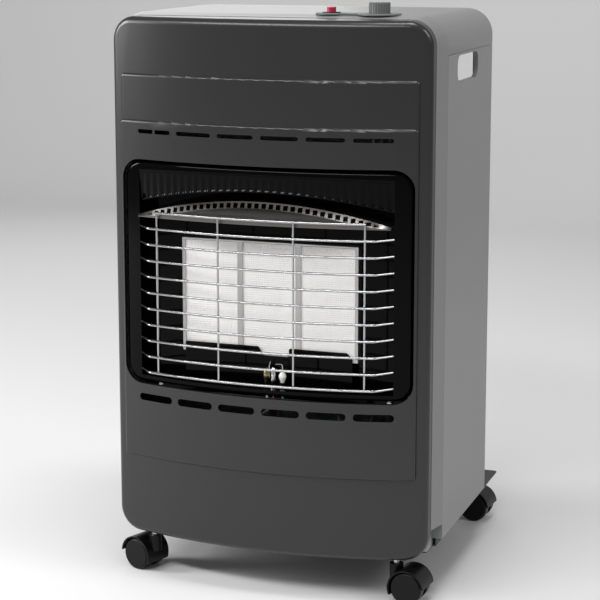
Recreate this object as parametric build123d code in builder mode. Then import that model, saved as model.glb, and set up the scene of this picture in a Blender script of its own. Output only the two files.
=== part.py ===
from build123d import *

import os
from math import asin, cos, degrees, radians, sin, sqrt, tan

os.makedirs("parts", exist_ok=True)

# Portable gas cabinet heater, in millimetres. X runs to the viewer's right, the front faces -Y, Z is up, and
# the floor is Z = 0. The object stands on four swivelling twin-wheel casters.

# ------------------------------------------------------------------ cabinet
cabinet_width = 420.0  # over the two side panels
top_height = 710.0  # floor to top surface
casing_sheet = 1.0  # top cover and side panels
band_depth = 28.5  # slanted band between the front panel and the side panels
band_corner = 33.0  # upper corners of the cover, seen from the front
side_depth = 221.5  # side panels, front to back
side_low = 71.8  # bottom edge of the side panels
skirt_low = top_height - 45.5  # bottom edge of the cover's side skirts
leg_low = 91.0  # bottom end of the cover's front legs
seam = 0.5  # open seam between two casing sheets
rear_skirt = 35.0  # height of the cover's rear skirt
cover_flange = 14.0  # inward flange that the front panel sits against

# -------------------------------------------------------------- front panel
panel_width = cabinet_width - 14.0
panel_low = 55.6  # bottom edge
panel_drop = 3.5  # its top edge below the top surface
panel_sheet = 1.2
panel_rim = 14.5  # straight return behind the bowed face
panel_bow = 35.4  # how far the middle stands in front of the ends
panel_corner = 30.0
panel_edge = 9.0  # rounding between face and return
field_width = panel_width - 27.0  # the two raised fields, one on the other
field_step = 2.5
field_corner = 5.0
field_edge = 4.0
crease_height = top_height - 552.0  # where both fields end, above the plain kick area
lower_field_top = top_height - 128.0
upper_field_top = top_height - 72.0

# Air slots in the raised field, above and below the window.
slot_count = 6
upper_slot_pitch = 55.6
upper_slot_length = 46.4
upper_slot_width = 5.0
upper_slot_height = top_height - 141.7
slot_bridge = 3.5  # the bridge in the slot at the left end
lower_slot_pitch = 56.4
lower_slot_length = 48.0
lower_slot_width = 9.0
lower_slot_height = top_height - 474.2

# ------------------------------------------------------- window and housing
window_width = field_width - 6.0
window_low = top_height - 457.5
window_high = top_height - 176.0
window_corner = 25.0
window_return = 6.0  # the window edge is turned back this far
bezel_gap = 2.5  # between the window edge and the enamelled bezel
bezel_inset = 3.0  # bezel face behind the raised field
bezel_return = 14.0
bezel_edge = 6.0
housing_sheet = 1.2
recess_width = window_width - 47.0
recess_low = top_height - 447.0
recess_side_high = top_height - 228.0  # the recess has an arched top
recess_middle_high = top_height - 208.0
slant_side_high = top_height - 189.0  # its roof slants up and forward to these heights at the bezel
slant_middle_high = top_height - 186.0
throat_setback = 5.0  # depth of the slanted roof, behind the bezel face
recess_stations = 9
flange_width = recess_width + 18.0  # mounting flange round the back of the recess
flange_low = top_height - 470.0
flange_high = top_height - 154.0

# ------------------------------------------------------------- hood, guard
hood_sheet = 1.2
hood_tip_height = top_height - 243.5
hood_top_height = top_height - 218.0
hood_low = top_height - 246.0  # lower edge of its front
hood_lip_height = 9.5  # upper part of the front that leans back and is slotted
hood_lip_share = 0.7  # most of the front's height that the lip takes, near its tips
hood_lip_lean = 4.0
hood_tip_setback = 18.0  # its ends stand further back than its middle
hood_reach = 57.0  # from the back of the recess to its foremost edge
hood_side_gap = 2.0
hood_stations = 13
hood_slot_count = 33
hood_slot_pitch = 9.0
hood_slot_width = 5.6
hood_slot_share = 0.6  # slot height as a share of the lip
guard_wire = 3.0
guard_upright = 2.6
guard_rows = 10
guard_pitch = 20.0
guard_low = top_height - 438.7
guard_proud = 16.5  # guard in front of the plain panel face
guard_top = top_height - 238.7
guard_bow_half = recess_width / 2 - 21.0  # the bowed stretch of each wire
guard_end_angle = 48.0  # each end turns back at this angle to X
guard_bend = 8.0
guard_end = 40.0  # straight end of a long wire before it is trimmed
guard_upright_places = (9.6 - guard_bow_half, -47.8, 47.8, guard_bow_half - 9.6)
guard_weld = 0.25

# ------------------------------------------------------------------ burners
burner_count = 3
burner_pitch = 75.2
burner_width = 73.6
burner_low = top_height - 413.2
burner_high = top_height - 274.8
burner_depth = 48.0
burner_sheet = 0.8
plaque_thickness = 13.0
plaque_clearance = 0.4
plaque_front = 12.0  # plaque faces in front of the housing's back plate
plaque_ledge = 3.0
burner_tab = 8.0  # mounting tabs above and below, behind the housing
mixer_diameter = 24.0
mixer_length = 44.0
mixer_mouth = 30.0
mixer_flare = 8.0
frame_sheet = 1.0
frame_bar = 4.0
frame_strip = 7.0
frame_edge = 2.0  # bars along the top and the bottom
burner_gap = 0.6
shield_sheet = 1.0
shield_top = top_height - 403.2
shield_corner = 2.0
shield_right = 107.0
shield_left = 110.0
shield_foot = 12.0
shield_slope = 7.0  # its sloping ends and the notch's left side lean over by this much
notch_place = 9.5
notch_width = 33.0
notch_low = top_height - 414.0
notch_corner = 3.0

# ------------------------------------------------------------------ chassis
chassis_sheet = 1.2
upright_outside = cabinet_width / 2 - 12.0
upright_depth = 46.8
upright_flange = 12.0
rail_flange = 16.0  # flanges of the rear rail
beam_height = 20.0
beam_depth = 13.0
upper_beam_low = top_height - 172.0
lower_beam_low = top_height - 474.0
shield_gap_low = 150.0
heat_shield_sheet = 1.0
heat_shield_high = top_height - 20.0
heat_shield_edge = 10.0
louvre_count = 6
louvre_pitch = 52.0
louvre_length = 36.0
louvre_width = 6.0
louvre_height = top_height - 70.0

# --------------------------------------------------------------- base plate
plate_overhang = 108.0  # behind the side panels
plate_width = cabinet_width - 16.0
plate_top = 63.0
plate_sheet = 1.5
plate_corner = 4.0
plate_front_gap = 6.0
plate_flange = 26.0  # upturned sides inside the side panels
plate_lip = 10.0
plate_lip_width = 300.0
pad_inset = 62.0  # raised pad that the bottle stands on, in from the side panels
pad_depth = 280.0
pad_height = 3.0
pad_corner = 20.0
pad_back = 12.0  # pad in front of the plate's rear edge

# ----------------------------------------------------------------- handhold
handhold_length = 102.0
handhold_height = 32.0
handhold_corner = 12.0
handhold_setback = 95.3  # middle of the hole behind the band
handhold_drop = 19.5  # middle of the hole below the skirt's edge
handhold_roll = 6.0
side_flange = 25.0  # rear flange of the side panels
side_front_flange = 12.0
side_tongue = 12.0  # upper edge that runs up behind the skirt
tongue_gap = 0.1  # between the tongue and the skirt
tongue_end = 4.0  # tongue shorter than the panel by this much at each end

# ----------------------------------------------------------------- controls
control_setback = 32.8  # knob and button behind the front panel
knob_inset = 86.0  # knob in from the right side
knob_diameter = 25.6
knob_top = 15.0  # above the top surface
knob_height = 14.0
knob_gap = 0.8
knob_pointer = 1.6
knob_travel = 4.5
knob_ribs = 24
knob_rib = 1.1  # radius of the grooves between the ribs
knob_rib_set = 0.4  # middle of each groove outside the knob's edge
knob_edge = 0.6
button_edge = 1.1
button_gap = 60.0  # button to the left of the knob
button_diameter = 11.0
button_top = 9.0  # above the top surface
button_length = 19.0
button_travel = 5.0
escutcheon_thickness = 2.0
escutcheon_edge = 0.7
escutcheon_knob_radius = 26.0
escutcheon_button_radius = 19.0
escutcheon_bar = 22.0
spindle_diameter = 8.0
spindle_flat = 1.5
running_gap = 0.05  # radial, for each sliding or turning fit
spindle_length = 38.0
spindle_into_knob = 11.0
shoulder_diameter = 11.0
shoulder_height = 1.0
valve_width = 54.0
valve_offset = 11.0  # middle of the valve body to the right of the spindle
valve_depth = 28.0
valve_height = 46.0
valve_drop = 12.0  # valve body below the top surface
valve_edge = 3.0
valve_boss_wall = 1.5  # each boss under the valve is this much wider than its pipe, all round
bore_gap = 1.0  # below a moving piece at the end of its travel
valve_port_height = 5.0
bracket_sheet = 1.2
bracket_overlap = 7.0  # bracket beyond each end of the valve
bracket_foot = 7.0
bracket_hole = 12.0
collar_diameter = 14.0
collar_height = 4.0
collar_end_gap = 0.1
piezo_diameter = 18.0
piezo_flange = 22.0
piezo_flange_height = 1.0
piezo_length = 46.0
piezo_neck = 12.0
piezo_nut_width = 22.0
piezo_nut_height = 5.0
piezo_nut_drop = 1.0  # nut below the underside of the top

# -------------------------------------------------------------------- pipes
pipe_diameter = 6.0
pilot_pipe_diameter = 4.0
thermo_lead_diameter = 2.0
lead_diameter = 2.6
pipe_plane_setback = 23.8  # plane of the pipes behind the front panel
pipe_bend = 9.0
pipe_offsets = (-2.0, 8.0, 18.0)  # the three supply pipes going down, to the right of the knob
run_heights = (top_height - 500.0, top_height - 510.0, top_height - 520.0)
pilot_offset = 27.0
thermo_lead_offset = 33.0
lead_offset = 50.0
pilot_run_height = top_height - 529.0
thermo_lead_run_height = top_height - 537.0
lead_run_height = top_height - 550.0
lead_drop = 34.0
lead_left = -62.0
lead_straight = 10.0  # upright end of the lead under the electrode
lead_rise = top_height - 528.0
rail_sheet = 1.5
rail_width = 190.0
rail_depth = 33.0
rail_upstand = 9.0
injector_width = 12.0
injector_head = 9.0
injector_height = 15.0
injector_tip = 7.0
injector_shank = 8.0
injector_below = 10.0
injector_bore = 1.5
hose_tail_offset = 26.0  # to the right of the knob
hose_tail_rise = 10.0  # hose tail above the valve's underside
hose_spigot_radius = 5.5  # plain end in the valve, in front of the hexagon
hose_hole_gap = 1.0
hose_tail_length = 34.0
hose_tail_radius = 4.5
hose_tail_bore = 2.5
hose_tail_hex = 14.0

# -------------------------------------------------------------------- pilot
pilot_setback = 21.0  # pilot and thermocouple in front of the recess's back plate
pilot_x = 0.0
pilot_diameter = 8.0
pilot_height = 19.0
pilot_shank = 6.0
pilot_hex_height = 4.7
pilot_below = 6.0  # pilot parts reach this far below the recess floor
thermocouple_x = 8.5
thermocouple_diameter = 5.0
thermocouple_collar = 7.0
thermocouple_tip = 1.2  # rounding of its tip
thermocouple_height = 21.0
electrode_x = 22.0
electrode_setback = 26.0  # electrode in front of the recess's back plate
electrode_diameter = 9.0
electrode_height = 18.5
electrode_wire = 1.6
electrode_tip_height = 26.0
electrode_tip_x = 13.0

# ------------------------------------------------------------------ casters
caster_x = cabinet_width / 2 - 49.0
front_caster_inset = 65.2  # front stems behind the foremost point of the guard
rear_caster_inset = 22.0  # rear stems in front of the plate's rear edge
caster_trail = 18.0
wheel_diameter = 40.0
wheel_width = 12.0
wheel_rim = 4.0
wheel_disc = 2.5
wheel_hub = 12.0
wheel_edge = 3.0
web_width = 11.0
wheel_gap = 0.4
axle_diameter = 6.0
axle_end_gap = 2.0  # the wheels' outer faces stand this far beyond the axle's ends
stem_diameter = 8.0
stem_low = 26.0
stem_high = 78.0
stem_shoulder = 12.0
stem_shoulder_height = 3.0
fender_top = 46.0
fender_gap = 1.5
fender_sheet = 2.0
fender_width = 38.0
fender_end = 2.0  # the fender ends this far above the axle, behind
fender_cut = 8.0  # the opening behind starts this far from the axle
fender_lower = 9.0  # lower edge of the fender in front, below the axle
boss_diameter = 17.0
socket_diameter = 15.0
socket_flange = 24.0
socket_flange_thickness = 2.0
socket_high = 80.0
caster_headings = {  # the way each caster trails, in degrees from X
    "front_left": 160.0,
    "front_right": -5.0,
    "rear_left": 180.0,
    "rear_right": -5.0,
}
socket_notch = 9.5  # radius of the notch in the front panel's lower edge, round each front stem

# ------------------------------------------------------------------- screws
screw_shank = 3.6
screw_head = 7.5
screw_head_height = 2.4
screw_length = 6.0
screw_hole_gap = 0.1
skirt_screws = (-120.0, 0.0, 120.0)
skirt_screw_drop = 18.0
shield_screw_low = shield_gap_low + 50.0
shield_screw_high = heat_shield_high - 30.0
shield_screws = (shield_screw_low, (shield_screw_low + shield_screw_high) / 2, shield_screw_high)
shield_screw_x = upright_outside - 6.0
housing_screws = (22.0 - flange_width / 2, 0.0, flange_width / 2 - 22.0)

# ------------------------------------------------------ places worked out
total_depth = guard_proud + panel_bow + panel_rim + band_depth + side_depth + plate_overhang
front_y = -total_depth / 2
face_y = front_y + guard_proud  # the plain panel face in its middle
panel_back_y = face_y + panel_bow + panel_rim
band_back_y = panel_back_y + band_depth
side_back_y = band_back_y + side_depth
plate_back_y = side_back_y + plate_overhang
panel_high = top_height - panel_drop
panel_half = panel_width / 2
cabinet_half = cabinet_width / 2
bow_radius = (panel_half**2 + panel_bow**2) / (2 * panel_bow)
bow_centre_y = face_y + bow_radius
chassis_front_y = panel_back_y + casing_sheet
back_plate_y = chassis_front_y - housing_sheet  # front of the housing's back plate
burner_front_y = back_plate_y - plaque_front
pilot_y = back_plate_y - pilot_setback
electrode_y = back_plate_y - electrode_setback
control_y = panel_back_y + control_setback
pipe_plane_y = panel_back_y + pipe_plane_setback
front_caster_y = front_y + front_caster_inset
handhold_middle = band_back_y + handhold_setback
knob_x = cabinet_half - knob_inset
button_x = knob_x - button_gap
pipe_lanes = [knob_x + offset for offset in pipe_offsets]
pilot_lane = knob_x + pilot_offset
thermo_lead_lane = knob_x + thermo_lead_offset
lead_lane = knob_x + lead_offset
hose_tail_x = knob_x + hose_tail_offset
pad_width = cabinet_width - 2 * pad_inset
valve_top = top_height - valve_drop
valve_low = valve_top - valve_height
hose_tail_height = valve_low + hose_tail_rise


def facing(y):
    """A plane seen from the front, at depth y: its own x is X and its own y is Z."""
    return Plane.XZ.offset(-y)


def bowed_form(half, low, high, face, back, corner, edge):
    """A block with the bowed front of the panel, its corners rounded as seen from the front."""
    with BuildPart() as form:
        with BuildSketch(facing(back)):
            with Locations((0, (low + high) / 2)):
                RectangleRounded(2 * half, high - low, corner)
        extrude(amount=back - face + field_step)
        with BuildSketch(Plane.XY.offset(low)):
            with Locations((0, bow_centre_y)):
                Circle(bow_centre_y - face)
        extrude(amount=high - low, mode=Mode.INTERSECT)
        fillet(form.faces().filter_by(GeomType.CYLINDER).sort_by(Axis.Y)[0].edges(), edge)
    return form.part


def bowed_layer(front, back, low, high, centre_y=bow_centre_y):
    """The space between two concentric bows, from front to back in the middle."""
    with BuildPart() as layer:
        with BuildSketch(Plane.XY.offset(low)):
            with Locations((0, centre_y)):
                Circle(centre_y - front)
                Circle(centre_y - back, mode=Mode.SUBTRACT)
            with Locations((0, centre_y)):
                Rectangle(2 * total_depth + cabinet_width, 2 * (centre_y - cabinet_width), mode=Mode.SUBTRACT)
        extrude(amount=high - low)
    return layer.part


def save(piece, name):
    """Labels a finished piece and writes it."""
    piece.part.label = name
    export_step(piece.part, f"parts/{name}.step")


def slot_places(pitch, height):
    """The middles of a row of air slots, as points seen from the front."""
    first = -(slot_count - 1) / 2
    return [((first + i) * pitch, height) for i in range(slot_count)]


def bow_y(front, x):
    """Depth of a bow whose middle stands at front, at a place x across."""
    return bow_centre_y - sqrt((bow_centre_y - front) ** 2 - x**2)


def lofted_across(half, stations, section):
    """A space whose outline seen from the side is section(x, share), share going from -1 to 1 across."""
    with BuildPart() as form:
        for i in range(stations):
            share = 2 * i / (stations - 1) - 1
            with BuildSketch(Plane.YZ.offset(share * half)):
                with BuildLine():
                    Polyline(*section(share * half, share), close=True)
                make_face()
        loft(ruled=True)
    return form.part


def screw_holes(places, y, depth):
    """The space of some screw holes seen from the front, from depth y back by depth."""
    with BuildPart() as holes:
        with BuildSketch(facing(y)):
            with Locations(*places):
                Circle(screw_shank / 2 + screw_hole_gap)
        extrude(amount=-depth)
    return holes.part


# ---------------------------------------------------------- front panel
# A bowed sheet-steel pressing with two raised fields, a window and two rows of air slots, open at the back.
with BuildPart() as front_panel:
    add(bowed_form(panel_half, panel_low, panel_high, face_y, panel_back_y, panel_corner, panel_edge))
    for level, top in ((1, upper_field_top), (2, lower_field_top)):
        add(
            bowed_form(
                field_width / 2,
                crease_height,
                top,
                face_y - level * field_step,
                panel_back_y,
                field_corner,
                field_edge,
            )
        )
    add(
        bowed_form(
            panel_half - panel_sheet,
            panel_low + panel_sheet,
            panel_high - panel_sheet,
            face_y + panel_sheet,
            panel_back_y,
            panel_corner - panel_sheet,
            panel_edge - panel_sheet,
        ),
        mode=Mode.SUBTRACT,
    )
    for level, top in ((1, upper_field_top), (2, lower_field_top)):
        add(
            bowed_form(
                field_width / 2 - panel_sheet,
                crease_height + panel_sheet,
                top - panel_sheet,
                face_y - level * field_step + panel_sheet,
                panel_back_y,
                field_corner - panel_sheet,
                field_edge - panel_sheet,
            ),
            mode=Mode.SUBTRACT,
        )
    with BuildSketch(facing(panel_back_y)):
        with Locations((0, (window_low + window_high) / 2)):
            RectangleRounded(window_width, window_high - window_low, window_corner)
    extrude(amount=2 * (panel_back_y - face_y), mode=Mode.SUBTRACT)
    with BuildSketch(facing(panel_back_y)):
        with Locations(*slot_places(upper_slot_pitch, upper_slot_height)):
            SlotOverall(upper_slot_length, upper_slot_width)
        with Locations(slot_places(upper_slot_pitch, upper_slot_height)[0]):
            Rectangle(slot_bridge, upper_slot_width, mode=Mode.SUBTRACT)
        with Locations(*slot_places(lower_slot_pitch, lower_slot_height)):
            SlotOverall(lower_slot_length, lower_slot_width)
    extrude(amount=2 * (panel_back_y - face_y), mode=Mode.SUBTRACT)
    with BuildSketch(Plane.XY.offset(panel_low)):
        with Locations((-caster_x, front_caster_y), (caster_x, front_caster_y)):
            Circle(socket_notch)
    extrude(amount=2 * panel_sheet, mode=Mode.SUBTRACT)

window_layer = bowed_layer(
    face_y - 2 * field_step + panel_sheet / 2,
    face_y - 2 * field_step + window_return,
    window_low - window_return,
    window_high + window_return,
)
with BuildPart() as window_edge:
    with BuildSketch(facing(panel_back_y)):
        with Locations((0, (window_low + window_high) / 2)):
            RectangleRounded(
                window_width + 2 * panel_sheet,
                window_high - window_low + 2 * panel_sheet,
                window_corner + panel_sheet,
            )
            RectangleRounded(window_width, window_high - window_low, window_corner, mode=Mode.SUBTRACT)
    extrude(amount=2 * (panel_back_y - face_y))
    add(window_layer, mode=Mode.INTERSECT)

with BuildPart() as front_panel_piece:
    add(front_panel.part)
    add(window_edge.part)
save(front_panel_piece, "front_panel")

skirt_screw_places = [(x, top_height - skirt_screw_drop) for x in skirt_screws]
shield_screw_places = [(side * shield_screw_x, z) for side in (-1, 1) for z in shield_screws]
housing_screw_places = [
    (x, z + beam_height / 2) for x in housing_screws for z in (lower_beam_low, upper_beam_low)
]

# ------------------------------------------------------------ top cover
# One welded shell: the top, its two side skirts, a rear skirt and a slanted front band with two long legs.


def arch_outline(half, low, high, corner):
    """A rectangle with rounded upper corners, as seen from the front."""
    with BuildSketch(Plane.XY, mode=Mode.PRIVATE) as outline:
        with Locations((0, (low + high) / 2)):
            Rectangle(2 * half, high - low)
        fillet(outline.vertices().group_by(Axis.Y)[-1], corner)
    return outline.sketch


def cover_form(inset):
    """The outer form of the cover, drawn in by inset on every side but the open bottom and the front."""
    with BuildPart() as form:
        with BuildSketch(facing(panel_back_y)):
            front_half = panel_half + seam - inset
            add(arch_outline(front_half, leg_low, panel_high + seam - inset, panel_corner - inset))
        with BuildSketch(facing(band_back_y)):
            add(arch_outline(cabinet_half - inset, leg_low, top_height - inset, band_corner - inset))
        loft(ruled=True)
        with BuildSketch(facing(band_back_y)):
            add(arch_outline(cabinet_half - inset, leg_low, top_height - inset, band_corner - inset))
        extrude(amount=band_back_y - side_back_y + inset)
    return form.part


with BuildPart() as top_cover:
    add(cover_form(0))
    add(cover_form(casing_sheet), mode=Mode.SUBTRACT)
    with BuildSketch(Plane.XY.offset(leg_low)):
        with Locations((0, (band_back_y + side_back_y) / 2)):
            Rectangle(cabinet_width, side_back_y - band_back_y)
    extrude(amount=skirt_low - leg_low, mode=Mode.SUBTRACT)
    with BuildSketch(facing(side_back_y)):
        with Locations((0, (leg_low + top_height - rear_skirt) / 2)):
            Rectangle(cabinet_width - 2 * casing_sheet, top_height - rear_skirt - leg_low)
    extrude(amount=2 * casing_sheet, mode=Mode.SUBTRACT)
    with BuildSketch(facing(chassis_front_y)):
        add(arch_outline(panel_half + seam / 2, leg_low, panel_high + seam / 2, panel_corner))
        flange_inside = arch_outline(
            panel_half - cover_flange, leg_low, panel_high - cover_flange, panel_corner - cover_flange
        )
        add(flange_inside, mode=Mode.SUBTRACT)
    extrude(amount=casing_sheet)
    with BuildSketch(Plane.XY.offset(top_height - 2 * casing_sheet)):
        with Locations((knob_x, control_y)):
            Circle(knob_diameter / 2 + knob_gap)
        with Locations((button_x, control_y)):
            Circle(piezo_diameter / 2 + screw_hole_gap)
    extrude(amount=3 * casing_sheet, mode=Mode.SUBTRACT)
    skirt_holes = screw_holes(skirt_screw_places, side_back_y - 2 * casing_sheet, 4 * casing_sheet)
    add(skirt_holes, mode=Mode.SUBTRACT)
save(top_cover, "top_cover")

# ---------------------------------------------------------- side panels
# A flat sheet with a front flange, a wide rear flange, a short bottom flange, a tongue behind the skirt and a
# handhold with a rolled edge.
side_middle_y = (band_back_y + side_back_y) / 2
side_high = skirt_low - seam
tongue_length = side_depth - 2 * tongue_end
handhold_place = (handhold_middle, skirt_low - handhold_drop)


def handhold_outline(grow):
    """The handhold as seen from the side, made larger by grow all round."""
    with BuildSketch(Plane.XY, mode=Mode.PRIVATE) as outline:
        with Locations(handhold_place):
            RectangleRounded(
                handhold_length + 2 * grow, handhold_height + 2 * grow, handhold_corner + grow
            )
    return outline.sketch


with BuildPart() as side_panel_right:
    with BuildSketch(Plane.YZ.offset(cabinet_half - casing_sheet)):
        with Locations((side_middle_y, (side_low + side_high) / 2)):
            Rectangle(side_depth - 2 * seam, side_high - side_low)
    extrude(amount=casing_sheet)
    with BuildSketch(Plane.XY.offset(side_low)):
        with Locations((cabinet_half - side_front_flange / 2, band_back_y + seam + casing_sheet / 2)):
            Rectangle(side_front_flange, casing_sheet)
        with Locations((cabinet_half - side_flange / 2, side_back_y - seam - casing_sheet / 2)):
            Rectangle(side_flange, casing_sheet)
    extrude(amount=side_high - side_low)
    with BuildSketch(Plane.XY.offset(side_low)):
        with Locations(((cabinet_half + plate_width / 2) / 2, side_middle_y)):
            Rectangle(cabinet_half - plate_width / 2, side_depth - 2 * seam)
    extrude(amount=casing_sheet)
    with BuildSketch(Plane.XY.offset(side_high - side_tongue)):
        with Locations((cabinet_half - 3 * casing_sheet / 2 - tongue_gap, side_middle_y)):
            Rectangle(casing_sheet, tongue_length)
    extrude(amount=2 * side_tongue)
    with BuildSketch(Plane.XY.offset(side_high - side_tongue)):
        with Locations((cabinet_half - casing_sheet - tongue_gap, side_middle_y)):
            Rectangle(2 * casing_sheet, tongue_length)
    extrude(amount=casing_sheet)
    with BuildSketch(Plane.YZ.offset(cabinet_half - handhold_roll)):
        add(handhold_outline(casing_sheet))
    extrude(amount=handhold_roll)
    with BuildSketch(Plane.YZ.offset(cabinet_half - 2 * handhold_roll)):
        add(handhold_outline(0))
    extrude(amount=3 * handhold_roll, mode=Mode.SUBTRACT)
save(side_panel_right, "side_panel_right")

with BuildPart() as side_panel_left:
    add(side_panel_right.part)
    mirror(about=Plane.YZ, mode=Mode.REPLACE)
save(side_panel_left, "side_panel_left")

# ----------------------------------------------------------- base plate
# A thick sheet that the gas bottle stands on. Its sides are turned up inside the side panels, its rear edge
# has a lip, and its front follows the bow of the front panel.
plate_half = plate_width / 2
front_caster_places = ((-caster_x, front_caster_y), (caster_x, front_caster_y))
rear_caster_y = plate_back_y - rear_caster_inset
caster_places = front_caster_places + ((-caster_x, rear_caster_y), (caster_x, rear_caster_y))
plate_front_half = panel_half - panel_corner

with BuildPart() as base_plate:
    with BuildSketch(Plane.XY.offset(plate_top - plate_sheet)):
        with Locations((0, (band_back_y + plate_back_y) / 2)):
            RectangleRounded(plate_width, plate_back_y - band_back_y, plate_corner)
        with Locations((0, (chassis_front_y + band_back_y) / 2)):
            Rectangle(2 * upright_outside, band_back_y - chassis_front_y)
        with Locations((0, (front_y + band_back_y) / 2)):
            Rectangle(2 * plate_front_half, band_back_y - front_y)
        with Locations((0, bow_centre_y)):
            Circle(bow_radius - plate_front_gap, mode=Mode.INTERSECT)
    extrude(amount=plate_sheet)
    with BuildSketch(Plane.XY.offset(plate_top - plate_sheet)):
        for side in (-1, 1):
            with Locations((side * (plate_half - plate_sheet / 2), side_middle_y)):
                Rectangle(plate_sheet, side_depth - 2 * seam - 2 * casing_sheet)
    extrude(amount=plate_flange)
    with BuildSketch(Plane.XY.offset(plate_top - plate_sheet)):
        with Locations((0, plate_back_y - plate_sheet / 2)):
            Rectangle(plate_lip_width, plate_sheet)
    extrude(amount=plate_lip)
    with BuildSketch(Plane.XY.offset(plate_top - plate_sheet)):
        with Locations(*caster_places):
            Circle(socket_diameter / 2)
    extrude(amount=plate_sheet, mode=Mode.SUBTRACT)
    with BuildSketch(Plane.XY.offset(plate_top)):
        with Locations((0, plate_back_y - pad_back - pad_depth / 2)):
            RectangleRounded(pad_width, pad_depth, pad_corner)
    extrude(amount=pad_height)
    with BuildSketch(Plane.XY.offset(plate_top - plate_sheet)):
        with Locations((0, plate_back_y - pad_back - pad_depth / 2)):
            RectangleRounded(
                pad_width - 2 * plate_sheet, pad_depth - 2 * plate_sheet, pad_corner - plate_sheet
            )
    extrude(amount=pad_height, mode=Mode.SUBTRACT)
save(base_plate, "base_plate")

# ------------------------------------------------------- chassis frame
# Two folded uprights and two cross beams, welded. The cover, burner housing and heat shield sit on it.
upright_high = top_height - band_corner - casing_sheet
with BuildPart() as chassis_frame:
    for side in (-1, 1):
        web_x = side * (upright_outside - chassis_sheet / 2)
        flange_x = side * (upright_outside - upright_flange / 2)
        with BuildSketch(Plane.XY.offset(plate_top)):
            with Locations((web_x, chassis_front_y + upright_depth / 2)):
                Rectangle(chassis_sheet, upright_depth)
            with Locations((flange_x, chassis_front_y + chassis_sheet / 2)):
                Rectangle(upright_flange, chassis_sheet)
            with Locations((flange_x, chassis_front_y + upright_depth - chassis_sheet / 2)):
                Rectangle(upright_flange, chassis_sheet)
        extrude(amount=upright_high - plate_top)
    for low in (lower_beam_low, upper_beam_low):
        with BuildSketch(facing(chassis_front_y + chassis_sheet)):
            with Locations((0, low + beam_height / 2)):
                Rectangle(2 * upright_outside, beam_height)
        extrude(amount=chassis_sheet)
        with BuildSketch(Plane.XY.offset(low)):
            with Locations((0, chassis_front_y + beam_depth / 2)):
                Rectangle(2 * upright_outside, beam_depth)
        extrude(amount=chassis_sheet)
    for places, y in (
        (housing_screw_places, chassis_front_y - chassis_sheet),
        (shield_screw_places, chassis_front_y + upright_depth - 2 * chassis_sheet),
    ):
        add(screw_holes(places, y, 3 * chassis_sheet), mode=Mode.SUBTRACT)
save(chassis_frame, "chassis_frame")

# ------------------------------------------------------------ rear rail
# A folded channel behind the cover's rear skirt, between the two side panels.
rail_back_y = side_back_y - casing_sheet
rail_half = cabinet_half - band_corner
with BuildPart() as rear_rail:
    with BuildSketch(Plane.YZ.offset(-rail_half)):
        with BuildLine():
            Polyline(
                (rail_back_y, top_height - rear_skirt),
                (rail_back_y, top_height - casing_sheet),
                (rail_back_y - rail_flange, top_height - casing_sheet),
                (rail_back_y - rail_flange, top_height - casing_sheet - chassis_sheet),
                (rail_back_y - chassis_sheet, top_height - casing_sheet - chassis_sheet),
                (rail_back_y - chassis_sheet, top_height - rear_skirt + chassis_sheet),
                (rail_back_y - rail_flange, top_height - rear_skirt + chassis_sheet),
                (rail_back_y - rail_flange, top_height - rear_skirt),
                close=True,
            )
        make_face()
    extrude(amount=2 * rail_half)
    rail_holes = screw_holes(skirt_screw_places, rail_back_y - 2 * chassis_sheet, 3 * chassis_sheet)
    add(rail_holes, mode=Mode.SUBTRACT)
save(rear_rail, "rear_rail")

# ---------------------------------------------------------- heat shield
# A plain sheet behind the burners, with a row of louvre slots and edges turned back. The bottle stands behind
# it.
heat_shield_y = chassis_front_y + upright_depth
heat_shield_half = upright_outside - chassis_sheet
louvre_places = [((i - (louvre_count - 1) / 2) * louvre_pitch, louvre_height) for i in range(louvre_count)]
with BuildPart() as heat_shield:
    with BuildSketch(facing(heat_shield_y)):
        with Locations((0, (shield_gap_low + heat_shield_high) / 2)):
            Rectangle(2 * heat_shield_half, heat_shield_high - shield_gap_low)
        with Locations(*louvre_places):
            SlotOverall(louvre_length, louvre_width, mode=Mode.SUBTRACT)
        with Locations((hose_tail_x, hose_tail_height)):
            Circle(hose_spigot_radius + hose_hole_gap, mode=Mode.SUBTRACT)
    extrude(amount=-heat_shield_sheet)
    for low in (shield_gap_low, heat_shield_high - heat_shield_sheet):
        with BuildSketch(Plane.XY.offset(low)):
            with Locations((0, heat_shield_y + heat_shield_edge / 2)):
                Rectangle(2 * heat_shield_half, heat_shield_edge)
        extrude(amount=heat_shield_sheet)
    shield_holes = screw_holes(shield_screw_places, heat_shield_y - chassis_sheet, 3 * chassis_sheet)
    add(shield_holes, mode=Mode.SUBTRACT)
save(heat_shield, "heat_shield")

# ------------------------------------------------------- burner housing
# An enamelled pressing: a bowed bezel that fills the window, a deep recess with a slanted roof, a back plate.
bezel_face_y = face_y - 2 * field_step + bezel_inset
bezel_half = window_width / 2 - bezel_gap
bezel_low = window_low + bezel_gap
bezel_high = window_high - bezel_gap
recess_half = recess_width / 2
burners_half = (burner_pitch * (burner_count - 1) + burner_width) / 2
pilot_places = (
    (pilot_x, pilot_y, pilot_shank),
    (thermocouple_x, pilot_y, thermocouple_diameter),
    (electrode_x, electrode_y, pilot_shank),
)


def recess_form(grow):
    """The space of the recess, from before the bezel to the back plate, made larger by grow all round."""

    def section(x, share):
        bezel_y = bow_y(bezel_face_y, x)
        roof = recess_middle_high - (recess_middle_high - recess_side_high) * share**2 + grow
        slant_high = slant_middle_high - (slant_middle_high - slant_side_high) * share**2 + grow
        return (
            (bezel_y - throat_setback, slant_high),
            (bezel_y, slant_high),
            (bezel_y + throat_setback, roof),
            (back_plate_y, roof),
            (back_plate_y, recess_low - grow),
            (bezel_y - throat_setback, recess_low - grow),
        )

    return lofted_across(recess_half + grow, recess_stations, section)


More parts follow.
